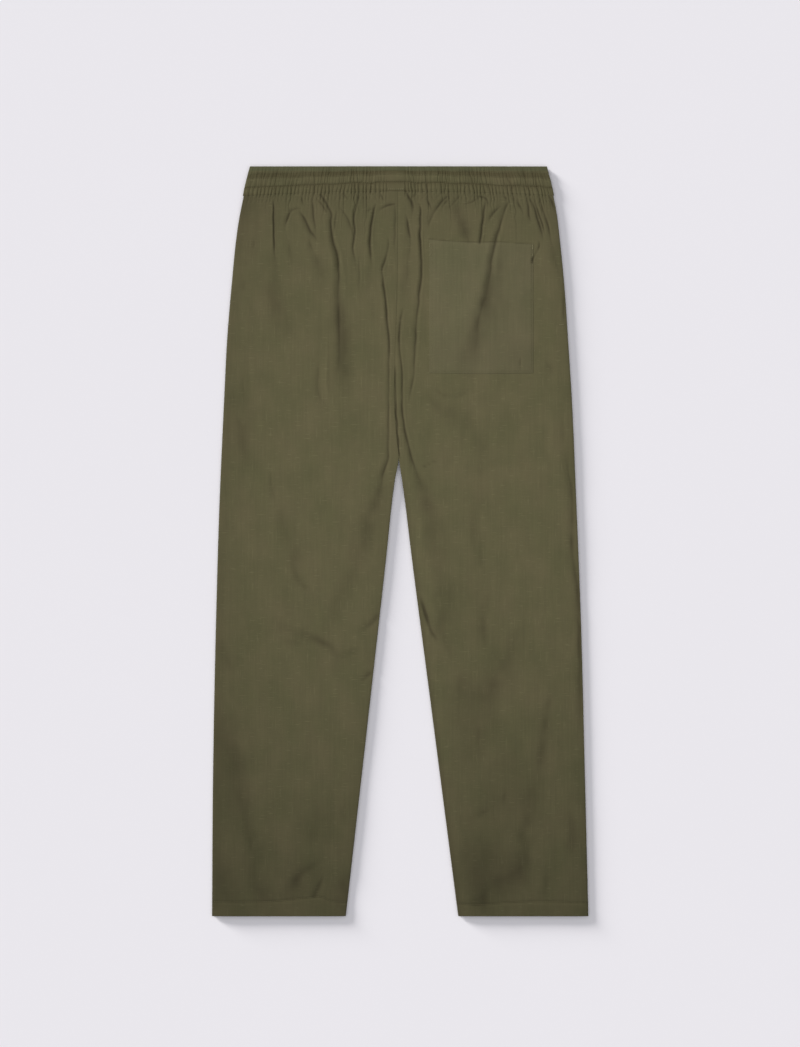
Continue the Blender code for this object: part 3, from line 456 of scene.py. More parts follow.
gathers = {
    "count": 37,  # on each side of the plain stretch at the centre back
    "plainLeft": -15.5, "plainRight": 8.5, "end": 3.0,
    "stray": 0.42,  # how far a crest strays from even spacing
    "seed": 7, "kinds": 300,  # random strengths and lengths, which the gathers take in turn
    "wander": 0.17,  # how far a gather's line wanders sideways, in gathers,
    "wanderCells": (7, 9), "wanderSeed": 41,  # on cells of this size in mm
    "crest": (0.40, 0.60), "valley": (0.12, 0.88),  # least height or depth, and the random part
    "crestPower": 0.7, "valleyPower": 2, "darkPower": 1.3,  # powers of the wave, its valleys and their shade
    "plainHeight": 0.45,  # of the plain stretch, as a share of the tallest crest
    # puckers, the gathers that run on below the waist seam
    "pucker": 1.15,  # depth just below the waist seam
    "puckerRun": (6.0, 50.0),  # mm over which a pucker fades,
    "runPower": 2.2, "fadePower": 1.3,  # most of them early
    "leans": ((0.0, 1.0), (0.11, 0.5), (-0.11, 0.5)),  # slant in gathers a mm, and weight, of each set
    "hatchRun": 9.5, "hatchFrom": 3,  # mm over which the slanting ones fade, and over which they set in
    "spread": 0.03,  # how much more they wander for each mm
    "narrows": 30,  # mm after which a valley is as sharp as its square
    "crestRun": 7,  # mm over which the crests die away and the valleys stay alone
    "aloneDepth": 1.2, "aloneShade": 0.72, "seamShade": 0.34,  # the last is taken off at the seam
}


def gatherKnots():
    # valleys and crests along the waist as shares of its half width, and their numbers: crests at halves
    random = np.random.RandomState(gathers["seed"])
    half, count = garment["halfWaist"], gathers["count"]
    last = 1 - gathers["end"] / half
    places, numbers = [], []
    plain = gathers["plainLeft"] / half, gathers["plainRight"] / half
    for low, high, first in ((-last, plain[0], 0), (plain[1], last, 100)):
        steps = 1 + gathers["stray"] * (2 * random.rand(2 * count) - 1)
        share = np.concatenate([[0.0], np.cumsum(steps)]) / steps.sum()
        places.append(low + share * (high - low))
        numbers.append(first + np.arange(2 * count + 1) / 2)
    return np.concatenate(places), np.concatenate(numbers)


gatherPlaces, gatherNumbers = gatherKnots()


def gatherWander(across, down, seed):
    # how far a gather's line strays sideways here, in gathers; band and panels share it, so the lines meet
    return 2 * gathers["wander"] * (softNoise(across, down, *gathers["wanderCells"], seed) - 0.5)


def gatherWave(share, wander):
    # |sin(pi p)|^0.7 between sharp valleys at whole p, each gather of its own strength; level on the plain
    # stretch; returned with the painted shade of its valleys and the number of the nearest one
    half, kinds = garment["halfWaist"], gathers["kinds"]
    inside = (share > gatherPlaces[0]) & (share < gatherPlaces[-1])
    plain = (share > gathers["plainLeft"] / half) & (share < gathers["plainRight"] / half)
    phase = np.interp(share, gatherPlaces, gatherNumbers) + wander
    live, number = inside & ~plain, np.round(phase).astype(int)
    strength = np.random.RandomState(gathers["seed"] + 1).rand(kinds)
    crest = gathers["crest"][0] + gathers["crest"][1] * strength[np.floor(phase).astype(int) % kinds]
    valley = gathers["valley"][0] + gathers["valley"][1] * strength[(number + kinds // 2) % kinds]
    sine = np.abs(np.sin(np.pi * phase))
    height = crest * sine ** gathers["crestPower"] - valley * (1 - sine) ** gathers["valleyPower"]
    dark = valley * (1 - sine) ** gathers["darkPower"]
    return np.where(live, height, gathers["plainHeight"]), np.where(live, dark, 0.0), number


def puckers(across, down):
    # below the waist seam each gather's valley runs on, narrows and fades, a few far down; a slanting pair
    # crosses them close to the seam
    below = np.maximum(down - seamDown(across), 0)
    share = (across - bandMiddle(down)) / bandHalf(down)
    drift = gatherWander(across, down, gathers["wanderSeed"])
    runs = np.random.RandomState(gathers["seed"] + 2).rand(gathers["kinds"])
    short, long = gathers["puckerRun"]
    relief, shade = 0.0, 0.0
    for lean, weight in gathers["leans"]:
        height, dark, number = gatherWave(share, (1 + gathers["spread"] * below) * drift + lean * below)
        run = short + (long - short) * runs[number % gathers["kinds"]] ** gathers["runPower"]
        fade = weight * np.exp(-(below / (gathers["hatchRun"] if lean else run)) ** gathers["fadePower"])
        fade = fade * (1 - np.exp(-below / gathers["hatchFrom"]) if lean else 1)
        valley = dark ** (1 + below / gathers["narrows"])
        rest = np.exp(-below / gathers["crestRun"])
        relief = relief + gathers["pucker"] * fade * (
            (height - gathers["plainHeight"]) * rest - gathers["aloneDepth"] * valley * (1 - rest))
        # painted shade in each pucker's valley, less of it at the seam
        shade = shade + fade * valley * (gathers["aloneShade"] - gathers["seamShade"] * rest)
    return relief, shade


panels = {
    "nearEdge": (0, 0.25, 0.7, 1.3, 2.1, 3.1, 4.4),  # mm of the columns that round an edge
    # columns of each zone, and its rows as start, end and step in mm: fine where the cloth is gathered
    "zones": (
        (340, ((35.05, 60, 1.1), (60, 260, 2.0), (260, 452, 3.2))),
        (170, ((452, 725, 3.0),)),
        (120, ((725, 985, 4.6), (985, 1046, 1.9), (1046, 1050.1, 0.5)))),
    "bowFade": 60.0,  # mm below the waist in which the rows straighten
    "roundEdge": 1.3, "endRound": 1.2, "turnDrop": 0.3,  # mm: width and drop of the rounded rim
    "waistRound": 1.3,  # mm of the rounding left out at the waist seam
    "sewnRound": 0.75, "sewnReach": 3,  # share of it left out at the centre-back seam, and mm from the seam
    "underColumns": 20, "edgeColumns": 3,  # of the under face, and how far in its second one lies above
    "lumps": 0.42,  # height of the cloth's soft unevenness, mm
    "lumpCells": ((34, 70, 1.0), (15, 38, 0.5), (6, 22, 0.16)),  # cells in mm, and weight
    "lumpMiddle": 0.83, "lumpFrom": 8,  # half of the weights; mm from the seam where the lumps are whole
    "seed": {"left": 11, "right": 17},
    "hemDip": 0.75, "hemWidth": 1.7, "hemRise": 0.35, "hemRun": 3,  # mm: dip at the hem's sewing, rise below
    # painted shade in strips along the waist, the hem, the seam, the sides and the inner edge: shade and
    # reach in mm
    "waistStrip": (0.13, 45), "hemStrip": (0.45, 1.0), "seamStrip": (0.10, 1.0),
    "sideStrips": ((0.26, 12), (0.14, 45)), "innerStrip": (0.52, 5.5),
    # the hem's sewing on each leg: across, down; it wanders with the cloth
    "hemLine": {
        "left": ((-262, 1029.5), (-225, 1030), (-174, 1028.6), (-131, 1024.4), (-110, 1023), (-95, 1029),
                 (-75, 1030)),
        "right": ((80, 1031.5), (107, 1034), (124, 1033), (150, 1031), (191, 1029.6), (230, 1030),
                  (262, 1031))},
}


def panelEdges(down, half):
    # left and right edge of one half: its side line, and its inner line moved by half a seam line
    gap = garment["seamLine"] / 2
    if half == "left":
        return smoothLine(down, sideEdges, 1), smoothLine(down, innerEdges, 1) - gap
    return smoothLine(down, innerEdges, 2) + gap, smoothLine(down, sideEdges, 2)


def mouthShade(across, down):
    # painted shade: the panel's dark strip just above the pocket's mouth, for its gap's shadow, eased away
    # past its two ends
    fromMouth = down - smoothLine(across, pocket["mouth"]) + pocket["mouthAbove"]
    end = pocket["mouthEnd"]
    inMouth = ease((across - pocket["left"] + end) / end) * ease((pocket["right"] + end - across) / end)
    return inMouth * strip(fromMouth, pocket["mouthStrip"])


def backSurface(across, down, half):
    # height = edge height + loft x shoulder at the side x groove or shoulder at the inner edge, less the
    # hem's dip, plus lumps, puckers, hollows and creases; returned with the painted shade of its folds and
    # of strips along its edges
    left, right = panelEdges(down, half)
    side, inner = (left, right) if half == "left" else (right, left)
    fromSide, fromInner = np.abs(across - side), np.abs(across - inner)
    loft = smoothLine(down, lofts) - edgeTop
    groove = 1 - garment["seamGroove"] / loft * bell(fromInner, garment["seamGrooveWidth"])
    parted = ease((down - garment["crotch"]) / garment["parting"])
    atInner = groove * (1 - parted) + rounded(fromInner, garment["shoulder"]) * parted
    fromHem = down - smoothLine(across, panels["hemLine"][half])
    dip = panels["hemDip"] * bell(fromHem, panels["hemWidth"])
    dip = dip - panels["hemRise"] * ease(fromHem / panels["hemRun"])
    rim = rounded(fromSide, garment["shoulder"])
    lumps = sum(weight * softNoise(across, down, wide, long, panels["seed"][half] + k)
                for k, (wide, long, weight) in enumerate(panels["lumpCells"])) - panels["lumpMiddle"]
    relief, shade = creaseField(across, down, backCreases[half])
    puckered, puckerShade = puckers(across, down)
    hollowed, hollowShade = hollowField(across, down, backHollows[half])
    small = panels["lumps"] * lumps * rounded(fromInner, panels["lumpFrom"]) + relief + puckered + hollowed
    height = edgeTop + (loft - dip) * rim * atInner + rim * small
    below = np.maximum(down - seamDown(across), 0)
    # painted shade: darker strips along the waist, the hem, the seam, the left side and the right inner
    # edge, and above the pocket's mouth
    shade = shade + hollowShade + puckerShade + strip(below, panels["waistStrip"]) + strip(
        fromHem, panels["hemStrip"]) + strip(fromInner, panels["seamStrip"]) * (1 - parted)
    if half == "left":
        shade = shade + sum(strip(fromSide, size) for size in panels["sideStrips"])
    else:
        shade = shade + parted * strip(fromInner, panels["innerStrip"]) + mouthShade(across, down)
    return np.maximum(height, edgeTop), np.clip(shade, 0, 1)


def panelPlan(half, columns, spans):
    # grid of across and down: columns at fixed distances from both edges and even between them; the first
    # rows follow the waist seam and straighten below it
    rows = np.concatenate([np.arange(low, high, step) for low, high, step in spans])
    left, right = panelEdges(rows, half)
    near = np.array(panels["nearEdge"], dtype=float)
    share = np.linspace(0, 1, columns - 2 * len(near) + 2)[1:-1]
    width = (right - left)[:, None]
    middle = near[-1] + share * (width - 2 * near[-1])
    places = np.hstack([np.tile(near, (len(rows), 1)), middle, width - near[::-1]])
    across = left[:, None] + places
    fade = 1 - ease((rows - garment["bandDepth"]) / panels["bowFade"])
    down = rows[:, None] + fade[:, None] * (seamDown(across) - garment["bandDepth"])
    return across, down


def toPoints(across, down, height):
    # X = across, Y = half the length - down, Z = height, turned from mm to metres
    return np.stack([across, garment["length"] / 2 - down, height], axis=-1) * mm


def gridFaces(rows, columns, first, upwards):
    # quads between neighbouring points of a grid, numbered row by row from first
    corner = first + (np.arange(rows - 1)[:, None] * columns + np.arange(columns - 1)).ravel()
    quads = np.column_stack([corner, corner + columns, corner + columns + 1, corner + 1])
    return quads if upwards else quads[:, ::-1]


def capFaces(upper, lower, towardsWaist):
    # triangles between a fine and a coarse line of point numbers: each fine stretch reaches the coarse point
    # nearest its share of the way, and each coarse stretch the first fine point past its own middle
    apex = np.rint((np.arange(len(upper) - 1) + 0.5) / (len(upper) - 1) * (len(lower) - 1)).astype(int)
    turn = np.searchsorted(apex, np.arange(1, len(lower)))
    fine = np.column_stack([upper[:-1], upper[1:], lower[apex]])
    coarse = np.column_stack([lower[1:], lower[:-1], upper[turn]])
    faces = np.vstack([fine, coarse])
    return faces if towardsWaist else faces[:, ::-1]


def addMesh(name, points, quads, triangles, plan, shade, material):
    # faces by the numbers of their points, the flat plan as UV, and the painted shade of folds, hollows and
    # edge strips as a point attribute
    mesh = bpy.data.meshes.new(name)
    mesh.vertices.add(len(points))
    mesh.vertices.foreach_set("co", points.astype(np.float32).ravel())
    corners = np.concatenate([quads.ravel(), triangles.ravel()]).astype(np.int32)
    mesh.loops.add(len(corners))
    mesh.loops.foreach_set("vertex_index", corners)
    starts = np.concatenate([np.arange(len(quads)) * 4, 4 * len(quads) + np.arange(len(triangles)) * 3])
    mesh.polygons.add(len(starts))
    mesh.polygons.foreach_set("loop_start", starts.astype(np.int32))
    mesh.update(calc_edges=True)
    mesh.validate()
    mesh.uv_layers.new(name="plan").data.foreach_set("uv", plan[corners].astype(np.float32).ravel())
    mesh.attributes.new("paintedFoldShade", "FLOAT", "POINT").data.foreach_set("value", shade.astype(np.float32))
    mesh.shade_smooth()
    mesh.materials.append(material)
    return addObject(name, mesh)


def addShell(name, zones, lower, shades, material):
    # closed cloth: one or more grids above, each joined to the next row to row, and below a grid of as many
    # rows but fewer columns, with the edges between
    top, quads, ends, first = [], [], [], 0
    for zone in zones:
        rows, columns = zone.shape[:2]
        quads.append(gridFaces(rows, columns, first, True))
        top.append(first + np.arange(rows * columns).reshape(rows, columns))
        first += rows * columns
    for fine, coarse in zip(top[:-1], top[1:]):
        ends.append(capFaces(fine[-1], coarse[0], False))
    rows, under = lower.shape[:2]
    bottom = first + np.arange(rows * under).reshape(rows, under)
    left, right = (np.concatenate([grid[:, edge] for grid in top]) for edge in (0, -1))
    quads.append(gridFaces(rows, under, first, False))
    quads.append(np.column_stack([left[:-1], bottom[:-1, 0], bottom[1:, 0], left[1:]]))
    quads.append(np.column_stack([right[:-1], right[1:], bottom[1:, -1], bottom[:-1, -1]]))
    ends += [capFaces(top[0][0], bottom[0], True), capFaces(top[-1][-1], bottom[-1], False)]
    points = np.vstack([zone.reshape(-1, 3) for zone in zones] + [lower.reshape(-1, 3)])
    dark = np.concatenate([shade.ravel() for shade in shades] + [np.zeros(rows * under)])
    return addMesh(name, points, np.vstack(quads), np.vstack(ends), points[:, :2], dark, material)


def lowestNear(height, places, step):
    # lowest point of each row within a coarse column on both sides of the places
    starts = np.clip(places - step, 0, None)
    return np.stack([height[:, a:b].min(1) for a, b in zip(starts, places + step + 1)], axis=1)


def addBackPanel(name, half, material):
    # the surface zone by zone, its rim turned down, and an under face below the lowest points near it
    uppers, shades, lows, plans, turns = [], [], [], [], []
    atEdge = panels["edgeColumns"]
    for columns, spans in panels["zones"]:
        across, down = panelPlan(half, columns, spans)
        height, shade = backSurface(across, down, half)
        left, right = panelEdges(down, half)
        edge = np.minimum(across - left, right - across)
        ends = np.minimum(down - seamDown(across) + panels["waistRound"], garment["length"] - down)
        fromInner = across - left if half == "right" else right - across
        sewn = 1 - ease((down - garment["crotch"]) / garment["parting"])
        turn = turned(edge, ends, panels["roundEdge"], panels["endRound"]) * (
            1 - panels["sewnRound"] * sewn * bell(fromInner, panels["sewnReach"]))
        step = int(np.ceil(columns / panels["underColumns"]))
        inner = np.rint(np.linspace(step, columns - 1 - step, panels["underColumns"] - 4)).astype(int)
        places = np.concatenate([[0, atEdge], inner, [columns - 1 - atEdge, columns - 1]])
        uppers.append(toPoints(across, down, height - panels["turnDrop"] * turn))
        shades.append(shade)
        lows.append(lowestNear(height, places, step))
        plans.append(np.stack([across[:, places], down[:, places]]))
        turns.append(turn[:, places])
    low, turn = np.vstack(lows), np.vstack(turns)
    low = np.vstack([low[:1], low, low[-1:]])
    low = np.minimum(np.minimum(low[:-2], low[1:-1]), low[2:])
    across, down = np.concatenate(plans, axis=1)
    under = toPoints(across, down, low - garment["cloth"] + panels["turnDrop"] * turn)
    return addShell(name, uppers, under, shades, material)


pocket = {
    "left": 41.0, "right": 186.5,  # the same as the solid's
    "columns": 146, "rows": 186,
    "mouth": ((41, 102.5), (60, 104.5), (84, 106), (112, 107), (140, 106.4), (165, 108.4), (186.5, 109.5)),
    "foot": ((41, 289.6), (90, 290.6), (140, 290.6), (186.5, 290)),
    "lift": 0.12, "edgeLift": 0.3,  # mm above the panel, and the share of it at the edges
    "cloth": 0.42, "edgeRound": 5.0, "rim": 0.08,
    "inset": 3.2,  # the sewing's distance from the edge
    "sewnDip": (0.08, 0.9),  # mm deep and wide
    # painted shade and its reach in mm: along the sewing, the right edge, the foot, the mouth, and the left
    # edge, where it takes off the shine that the light puts there
    "sewnStrip": (0.05, 0.8), "rightStrip": (0.05, 0.9), "footStrip": (0.08, 1.0), "mouthStrip": (0.45, 0.8),
    "leftStrip": (0.16, 1.8),
    "mouthAbove": 0.5, "mouthEnd": 2,
    "rightTo": (225, 16), "footFrom": (122, 8),  # mm where those two lines end or start, and over which
    # painted shade that darkens the pocket towards the right and the foot
    "paintedShadeAcross": (0.14, 112, 30), "paintedShadeDown": (0.10, 205, 60),  # shade, from where, over how many mm
}


def pocketPlan(columns, rows):
    # grid between the mouth's and the foot's lines
    across = np.linspace(pocket["left"], pocket["right"], columns)
    top, foot = smoothLine(across, pocket["mouth"]), smoothLine(across, pocket["foot"])
    share = np.linspace(0, 1, rows)[:, None]
    return np.tile(across, (rows, 1)), top + share * (foot - top)


def pocketSurface(across, down):
    # the panel's own surface plus the pocket's cloth, which thins to a rounded edge and dips at its sewing;
    # painted shade draws the right edge's line down to two thirds and the foot's on its right half, and
    # darkens the pocket towards the right and the foot
    height, shade = backSurface(across, down, "right")
    fromSides = np.minimum(across - pocket["left"], pocket["right"] - across)
    fromFoot = smoothLine(across, pocket["foot"]) - down
    fromMouth = down - smoothLine(across, pocket["mouth"])
    fromSewn = np.minimum(fromSides, fromFoot)
    body = ease(np.minimum(fromSewn, fromMouth) / pocket["edgeRound"])
    lift = pocket["lift"] * (pocket["edgeLift"] + (1 - pocket["edgeLift"]) * body)
    cloth = pocket["cloth"] * (pocket["rim"] + (1 - pocket["rim"]) * body)
    cloth = cloth - strip(fromSewn - pocket["inset"], pocket["sewnDip"])
    onRight = 1 - ease((down - pocket["rightTo"][0]) / pocket["rightTo"][1])
    onFoot = ease((across - pocket["footFrom"][0]) / pocket["footFrom"][1])
    shade = (shade + strip(fromSewn - pocket["inset"], pocket["sewnStrip"])
             + strip(pocket["right"] - across, pocket["rightStrip"]) * onRight
             + strip(fromFoot, pocket["footStrip"]) * onFoot
             + strip(across - pocket["left"], pocket["leftStrip"]))
    for place, (paintedDarkness, start, run) in ((across, pocket["paintedShadeAcross"]), (down, pocket["paintedShadeDown"])):
        shade = shade + paintedDarkness * ease((place - start) / run)
    return height + lift + cloth, np.clip(shade, 0, 1), height + lift


def addPocket(name, material):
    # the pocket's surface above, and below it the panel's own, a little lifted
    across, down = pocketPlan(pocket["columns"], pocket["rows"])
    upper, shade, under = pocketSurface(across, down)
    return addShell(name, [toPoints(across, down, upper)], toPoints(across, down, under), [shade], material)


band = {
    "columns": 860, "rows": 62, "underColumns": 60,
    # share of the depth from the top edge: height, gathers, painted shade; two sewn channels and the gather
    # band
    "profile": (
        (0.00, -1.30, 0.05, 0.42), (0.03, -0.35, 0.25, 0.20), (0.08, 0.05, 0.45, 0.03),
        (0.16, 0.00, 0.50, 0.04), (0.18, -0.35, 0.75, 0.28), (0.22, -0.60, 0.85, 0.54),
        (0.30, -0.60, 0.90, 0.52), (0.345, -0.45, 0.85, 0.34), (0.38, 0.05, 0.80, 0.08),
        (0.44, 0.42, 0.85, 0.00), (0.54, 0.50, 0.85, 0.02), (0.615, 0.10, 0.75, 0.10),
        (0.64, -0.75, 0.40, 0.75), (0.68, -0.60, 0.50, 0.62), (0.71, -0.15, 0.70, 0.36),
        (0.76, 0.15, 0.85, 0.20), (0.84, 0.22, 1.00, 0.06), (0.93, 0.12, 1.00, 0.00),
        (0.975, 0.06, 1.00, 0.00), (1.00, 0.00, 0.95, 0.03)),
    # how much earlier each share of the depth lies in the profile at the sides of the waist
    "sideShift": ((0, 0), (0.15, -0.02), (0.36, -0.09), (0.48, -0.06), (0.72, -0.072), (1.0, 0)),
    "sideWeight": 1.15,
    "wobble": 0.06,  # how far the sewn channels wander, as a share of the depth
    "wobbleCells": (13, 10, 51),  # this and the other cells: mm across, mm down, and seed
    "gatherBand": (0.60, 0.07),  # where the gather band starts, and over which share it sets in
    # above the gather band and in it: the main gathers, the finer ones between them, and their painted
    # shades
    "main": (0.35, 1.00), "fine": (0.75, 0.30), "mainDark": (0.25, 0.73), "fineDark": (0.55, 0.25),
    "finePhase": 0.5, "fineWander": 0.8, "fineCells": (5, 30, 43),  # shifted and wandering, in gathers
    "level": 0.55,  # height of a gather that leaves the profile as it is
    "lumps": 0.5, "lumpCells": (11, 9, 45),  # mm
    "mottle": 0.25, "mottleCells": (14, 5, 49), "mottleTo": (0.7, 0.1),  # shade, and the row where it ends
    "endRelief": 0.25,  # share of the relief that is left at the two ends
    "meetFrom": 0.87, "seamSteps": 2401, "seamBelow": 0.05,  # where the foot nears the panels' own line
    "centreDark": (0.45, 0.955, 0.03), "centreAt": (-3.5, 26),  # shade at the foot of the plain stretch
    "leastCloth": 0.2,  # mm
    # mm: how the rim turns down above and up below, and the least wall there
    "endReach": 0.02, "endRound": 1.4, "rowRound": 1.2, "turnDown": 0.18, "turnUp": 0.4, "leastRim": 0.15,
}


def bandPlan(share, rows):
    # grid of the share of the half waist and the share of the depth
    return np.tile(share, (rows, 1)), np.linspace(0, 1, rows)[:, None] * np.ones_like(share)


def bandPlaceDown(share, row):
    # the row's share of the way down to the waist seam, read where the band's foot really lies
    foot = seamDown(share * garment["halfWaist"])
    return row * seamDown(bandMiddle(foot) + share * bandHalf(foot))


def bandProfileRow(share, row):
    # the row of the centre's profile that shows at this row, shifted towards the sides of the waist
    weight = ease(np.abs(share) * band["sideWeight"])
    wobble = band["wobble"] * np.sin(np.pi * row) * (
        softNoise(share * garment["halfWaist"], 0 * share, *band["wobbleCells"]) - 0.5)
    return row + weight * np.interp(row, *np.array(band["sideShift"]).T) + wobble


def panelsAtSeam():
    # height and shade of the two panels just under the waist seam, from side to side
    share = np.linspace(-1, 1, band["seamSteps"])
    down = bandPlaceDown(share, 1) + band["seamBelow"]
    across = bandMiddle(down) + share * bandHalf(down)
    onLeft = across < panelEdges(down, "left")[1]
    halves = zip(backSurface(across, down, "left"), backSurface(across, down, "right"))
    return share, *(np.where(onLeft, left, right) for left, right in halves)


def bandSurface(share, row):
    # under face on the front band, bowed up in the middle, plus the cloth, the profile and the gathers
    down = bandPlaceDown(share, row)
    across = bandMiddle(down) + share * bandHalf(down)
    under = garment["bandCloth"] + garment["gap"] + garment["bandSlit"] * (1 - share ** 2)
    rim = rounded((1 - np.abs(share)) * garment["halfWaist"], garment["bandShoulder"])
    thick = garment["bandEdge"] + (garment["bandCloth"] - garment["bandEdge"]) * rim
    profileRow = bandProfileRow(share, row)
    table = np.array(band["profile"])
    base, amount, paintedProfileShade = (np.interp(profileRow, table[:, 0], table[:, k]) for k in (1, 2, 3))
    wander = gatherWander(across, down, gathers["wanderSeed"])
    height, dark, _ = gatherWave(share, wander)
    fine, fineDark, _ = gatherWave(share, wander + band["finePhase"] + band["fineWander"] * (
        softNoise(across, down, *band["fineCells"]) - 0.5))
    lower = ease((profileRow - band["gatherBand"][0]) / band["gatherBand"][1])
    pairs = (band[key] for key in ("main", "fine", "mainDark", "fineDark"))
    main, between, mainDark, betweenDark = (above + (within - above) * lower for above, within in pairs)
    wave = main * height + between * fine
    lumps = softNoise(across, down, *band["lumpCells"]) - 0.5
    relief = base + amount * (wave - band["level"]) + band["lumps"] * lumps
    upper = under + thick + relief * (band["endRelief"] + (1 - band["endRelief"]) * rim)
    # painted shade: the profile's dark channels and the gathers' valleys
    shade = paintedProfileShade + amount * (mainDark * dark + betweenDark * fineDark)
    mottled = ease((band["mottleTo"][0] - profileRow) / band["mottleTo"][1])
    shade = shade + band["mottle"] * (softNoise(across, down, *band["mottleCells"]) - 0.5) * mottled
    # the foot takes the panels' own height and shade at the seam
    places, heights, shades = panelsAtSeam()
    meet = ease((row - band["meetFrom"]) / (1 - band["meetFrom"]))
    upper = upper + meet * (np.interp(share, places, heights) - upper)
    shade = shade + meet * (np.interp(share, places, shades) - shade)
    (dark, start, run), (middle, reach) = band["centreDark"], band["centreAt"]
    shade = shade + dark * ease((row - start) / run) * np.exp(-((across - middle) / reach) ** 4)
    return across, down, np.maximum(upper, under + band["leastCloth"]), np.clip(shade, 0, 1), under


def addBackBand(name, material):
    # the band's surface with its rim turned down, over a coarser under face
    share, row = bandPlan(np.linspace(-1, 1, band["columns"]), band["rows"])
    across, down, upper, shade, under = bandSurface(share, row)
    edge = np.minimum(1 - np.abs(share), band["endReach"]) * garment["halfWaist"]
    ends = np.minimum(row * garment["bandDepth"], (1 - row) * garment["bandDepth"] + band["rowRound"])
    turn = turned(edge, ends, band["endRound"], band["rowRound"])
    upper = upper - band["turnDown"] * turn
    places = np.rint(np.linspace(0, band["columns"] - 1, band["underColumns"])).astype(int)
    lower = np.minimum(under + band["turnUp"] * turn, upper - band["leastRim"])
    under = toPoints(*(grid[:, places] for grid in (across, down, lower)))
    return addShell(name, [toPoints(across, down, upper)], under, [shade], material)


# the hidden front: plain, and flat where it lies on the ground
front = {
    "columns": 70, "rows": 230, "top": 35.4, "crowd": 0.36,  # how far columns crowd towards the edges
    "hemGroove": (0.5, 2.0), "puckerGroove": 0.5, "grooveLimit": 0.8,  # mm deep and wide, share, most in mm
    "roundEdge": 2.5, "turn": 0.55,  # mm: width and drop of the rounded rim
    "bandColumns": 420, "bandRows": 26, "bandSeed": 47,
    # the band's grooves: depth of a level place, height of a gather that is level, the most, share kept
    "bandGroove": (0.6, 0.3, 1.3, 0.8),
    # mm: its rounded rim's width, how far that turns down and up, and the least wall; share of the shade
    "bandEndRound": 1.6, "bandRowRound": 1.4, "bandDown": 0.8, "bandUp": 0.6, "bandLeast": 0.3,
    "bandDark": 0.5,
}
frontCreases = {
    "longLeft": ((-96, 52, 0.2, 2), (-92, 90, 0.6, 3), (-96, 150, 0.6, 4), (-104, 230, 0.3, 6),
        (-110, 280, 0, 8)),
    "shortLeft": ((-150, 46, 0.4, 2), (-147, 80, 0.6, 2.5), (-152, 120, 0, 4)),
    "innerLeft": ((-40, 48, 0.3, 2), (-37, 110, 0.6, 3), (-30, 190, 0.3, 5), (-26, 240, 0, 6)),
    "longRight": ((88, 50, 0.2, 2), (84, 95, 0.6, 3), (90, 160, 0.5, 4), (99, 240, 0.2, 7),
        (104, 290, 0, 8)),
    "shortRight": ((150, 46, 0.4, 2), (146, 85, 0.6, 2.5), (150, 130, 0, 4)),
    "innerRight": ((34, 48, 0.3, 2), (31, 100, 0.6, 3), (25, 180, 0.3, 5), (22, 230, 0, 6)),
    "crotchLeft": ((-14, 396, 0.2, 2), (-38, 428, 0.6, 3), (-70, 452, 0.3, 5), (-96, 464, 0, 7)),
    "crotchRight": ((10, 396, 0.2, 2), (34, 426, 0.6, 3), (64, 452, 0.3, 5), (90, 466, 0, 7)),
    "kneeLeft": ((-70, 640, 0, 4), (-104, 652, 0.5, 4), (-146, 650, 0.4, 5), (-176, 640, 0, 6)),
    "kneeRight": ((76, 652, 0, 4), (108, 664, 0.5, 4), (150, 660, 0.4, 5), (184, 648, 0, 6)),
}


def frontEdges(down, half):
    # the back's outline, a little inside it, parted at the front's own centre seam above the crotch
    left, right = panelEdges(down, half)
    above = down < garment["crotch"]
    gap, tuck = garment["gap"] / 2, garment["tuck"]
    if half == "left":
        return left + tuck, np.where(above, garment["centreFront"] - gap, right - tuck)
    return np.where(above, garment["centreFront"] + gap, left + tuck), right - tuck


def addFrontPanel(name, half, material):
    # flat cloth whose under face is the ground plane, with creases and the hem's sewing as shallow grooves
    rows = np.linspace(front["top"], garment["length"], front["rows"])
    left, right = frontEdges(rows, half)
    share = np.linspace(0, 1, front["columns"])
    share = share - front["crowd"] * np.sin(2 * np.pi * share) / (2 * np.pi)
    across = left[:, None] + share * (right - left)[:, None]
    fade = 1 - ease((rows - rows[0]) / panels["bowFade"])
    down = rows[:, None] + fade[:, None] * (seamDown(across) + garment["gap"] - rows[0])
    relief, shade = creaseField(across, down, frontCreases)
    puckered, puckerShade = puckers(across, down)
    groove = strip(down - garment["hemStitch"], front["hemGroove"])
    groove = groove - relief - front["puckerGroove"] * puckered
    edge = np.minimum(across - left[:, None], right[:, None] - across)
    ends = np.minimum(down - down[0], down[-1] - down)
    turn = front["turn"] * turned(edge, ends, front["roundEdge"], front["roundEdge"])
    under = np.clip(groove, 0, front["grooveLimit"]) + turn
    return addShell(name, [toPoints(across, down, garment["cloth"] - turn)], toPoints(across, down, under),
                    [np.clip(shade + puckerShade, 0, 1)], material)


def addFrontBand(name, material):
    # the plain half of the waistband: flat below, with the same gathers and channels as grooves
    share, row = bandPlan(np.linspace(-1, 1, front["bandColumns"]), front["bandRows"])
    down = bandPlaceDown(share, row)
    tuck = garment["tuck"] / garment["halfWaist"]
    across = bandMiddle(down) + share * (1 - tuck) * bandHalf(down)
    table = np.array(band["profile"])
    base, amount = (np.interp(bandProfileRow(share, row), table[:, 0], table[:, k]) for k in (1, 2))
    height, dark, _ = gatherWave(share, 0.5 * gatherWander(across, down, front["bandSeed"]))
    level, middle, most, kept = front["bandGroove"]
    groove = np.clip(level - base - amount * (height - middle), 0, most) * kept
    edge = np.minimum(1 - np.abs(share), band["endReach"]) * garment["halfWaist"]
    ends = np.minimum(row, 1 - row) * garment["bandDepth"]
    turn = turned(edge, ends, front["bandEndRound"], front["bandRowRound"])
    upper = garment["bandCloth"] - front["bandDown"] * turn
    under = np.minimum(groove + front["bandUp"] * turn, upper - front["bandLeast"])
    under = under - under.min()
    return addShell(name, [toPoints(across, down, upper)], toPoints(across, down, under),
                    [front["bandDark"] * dark], material)


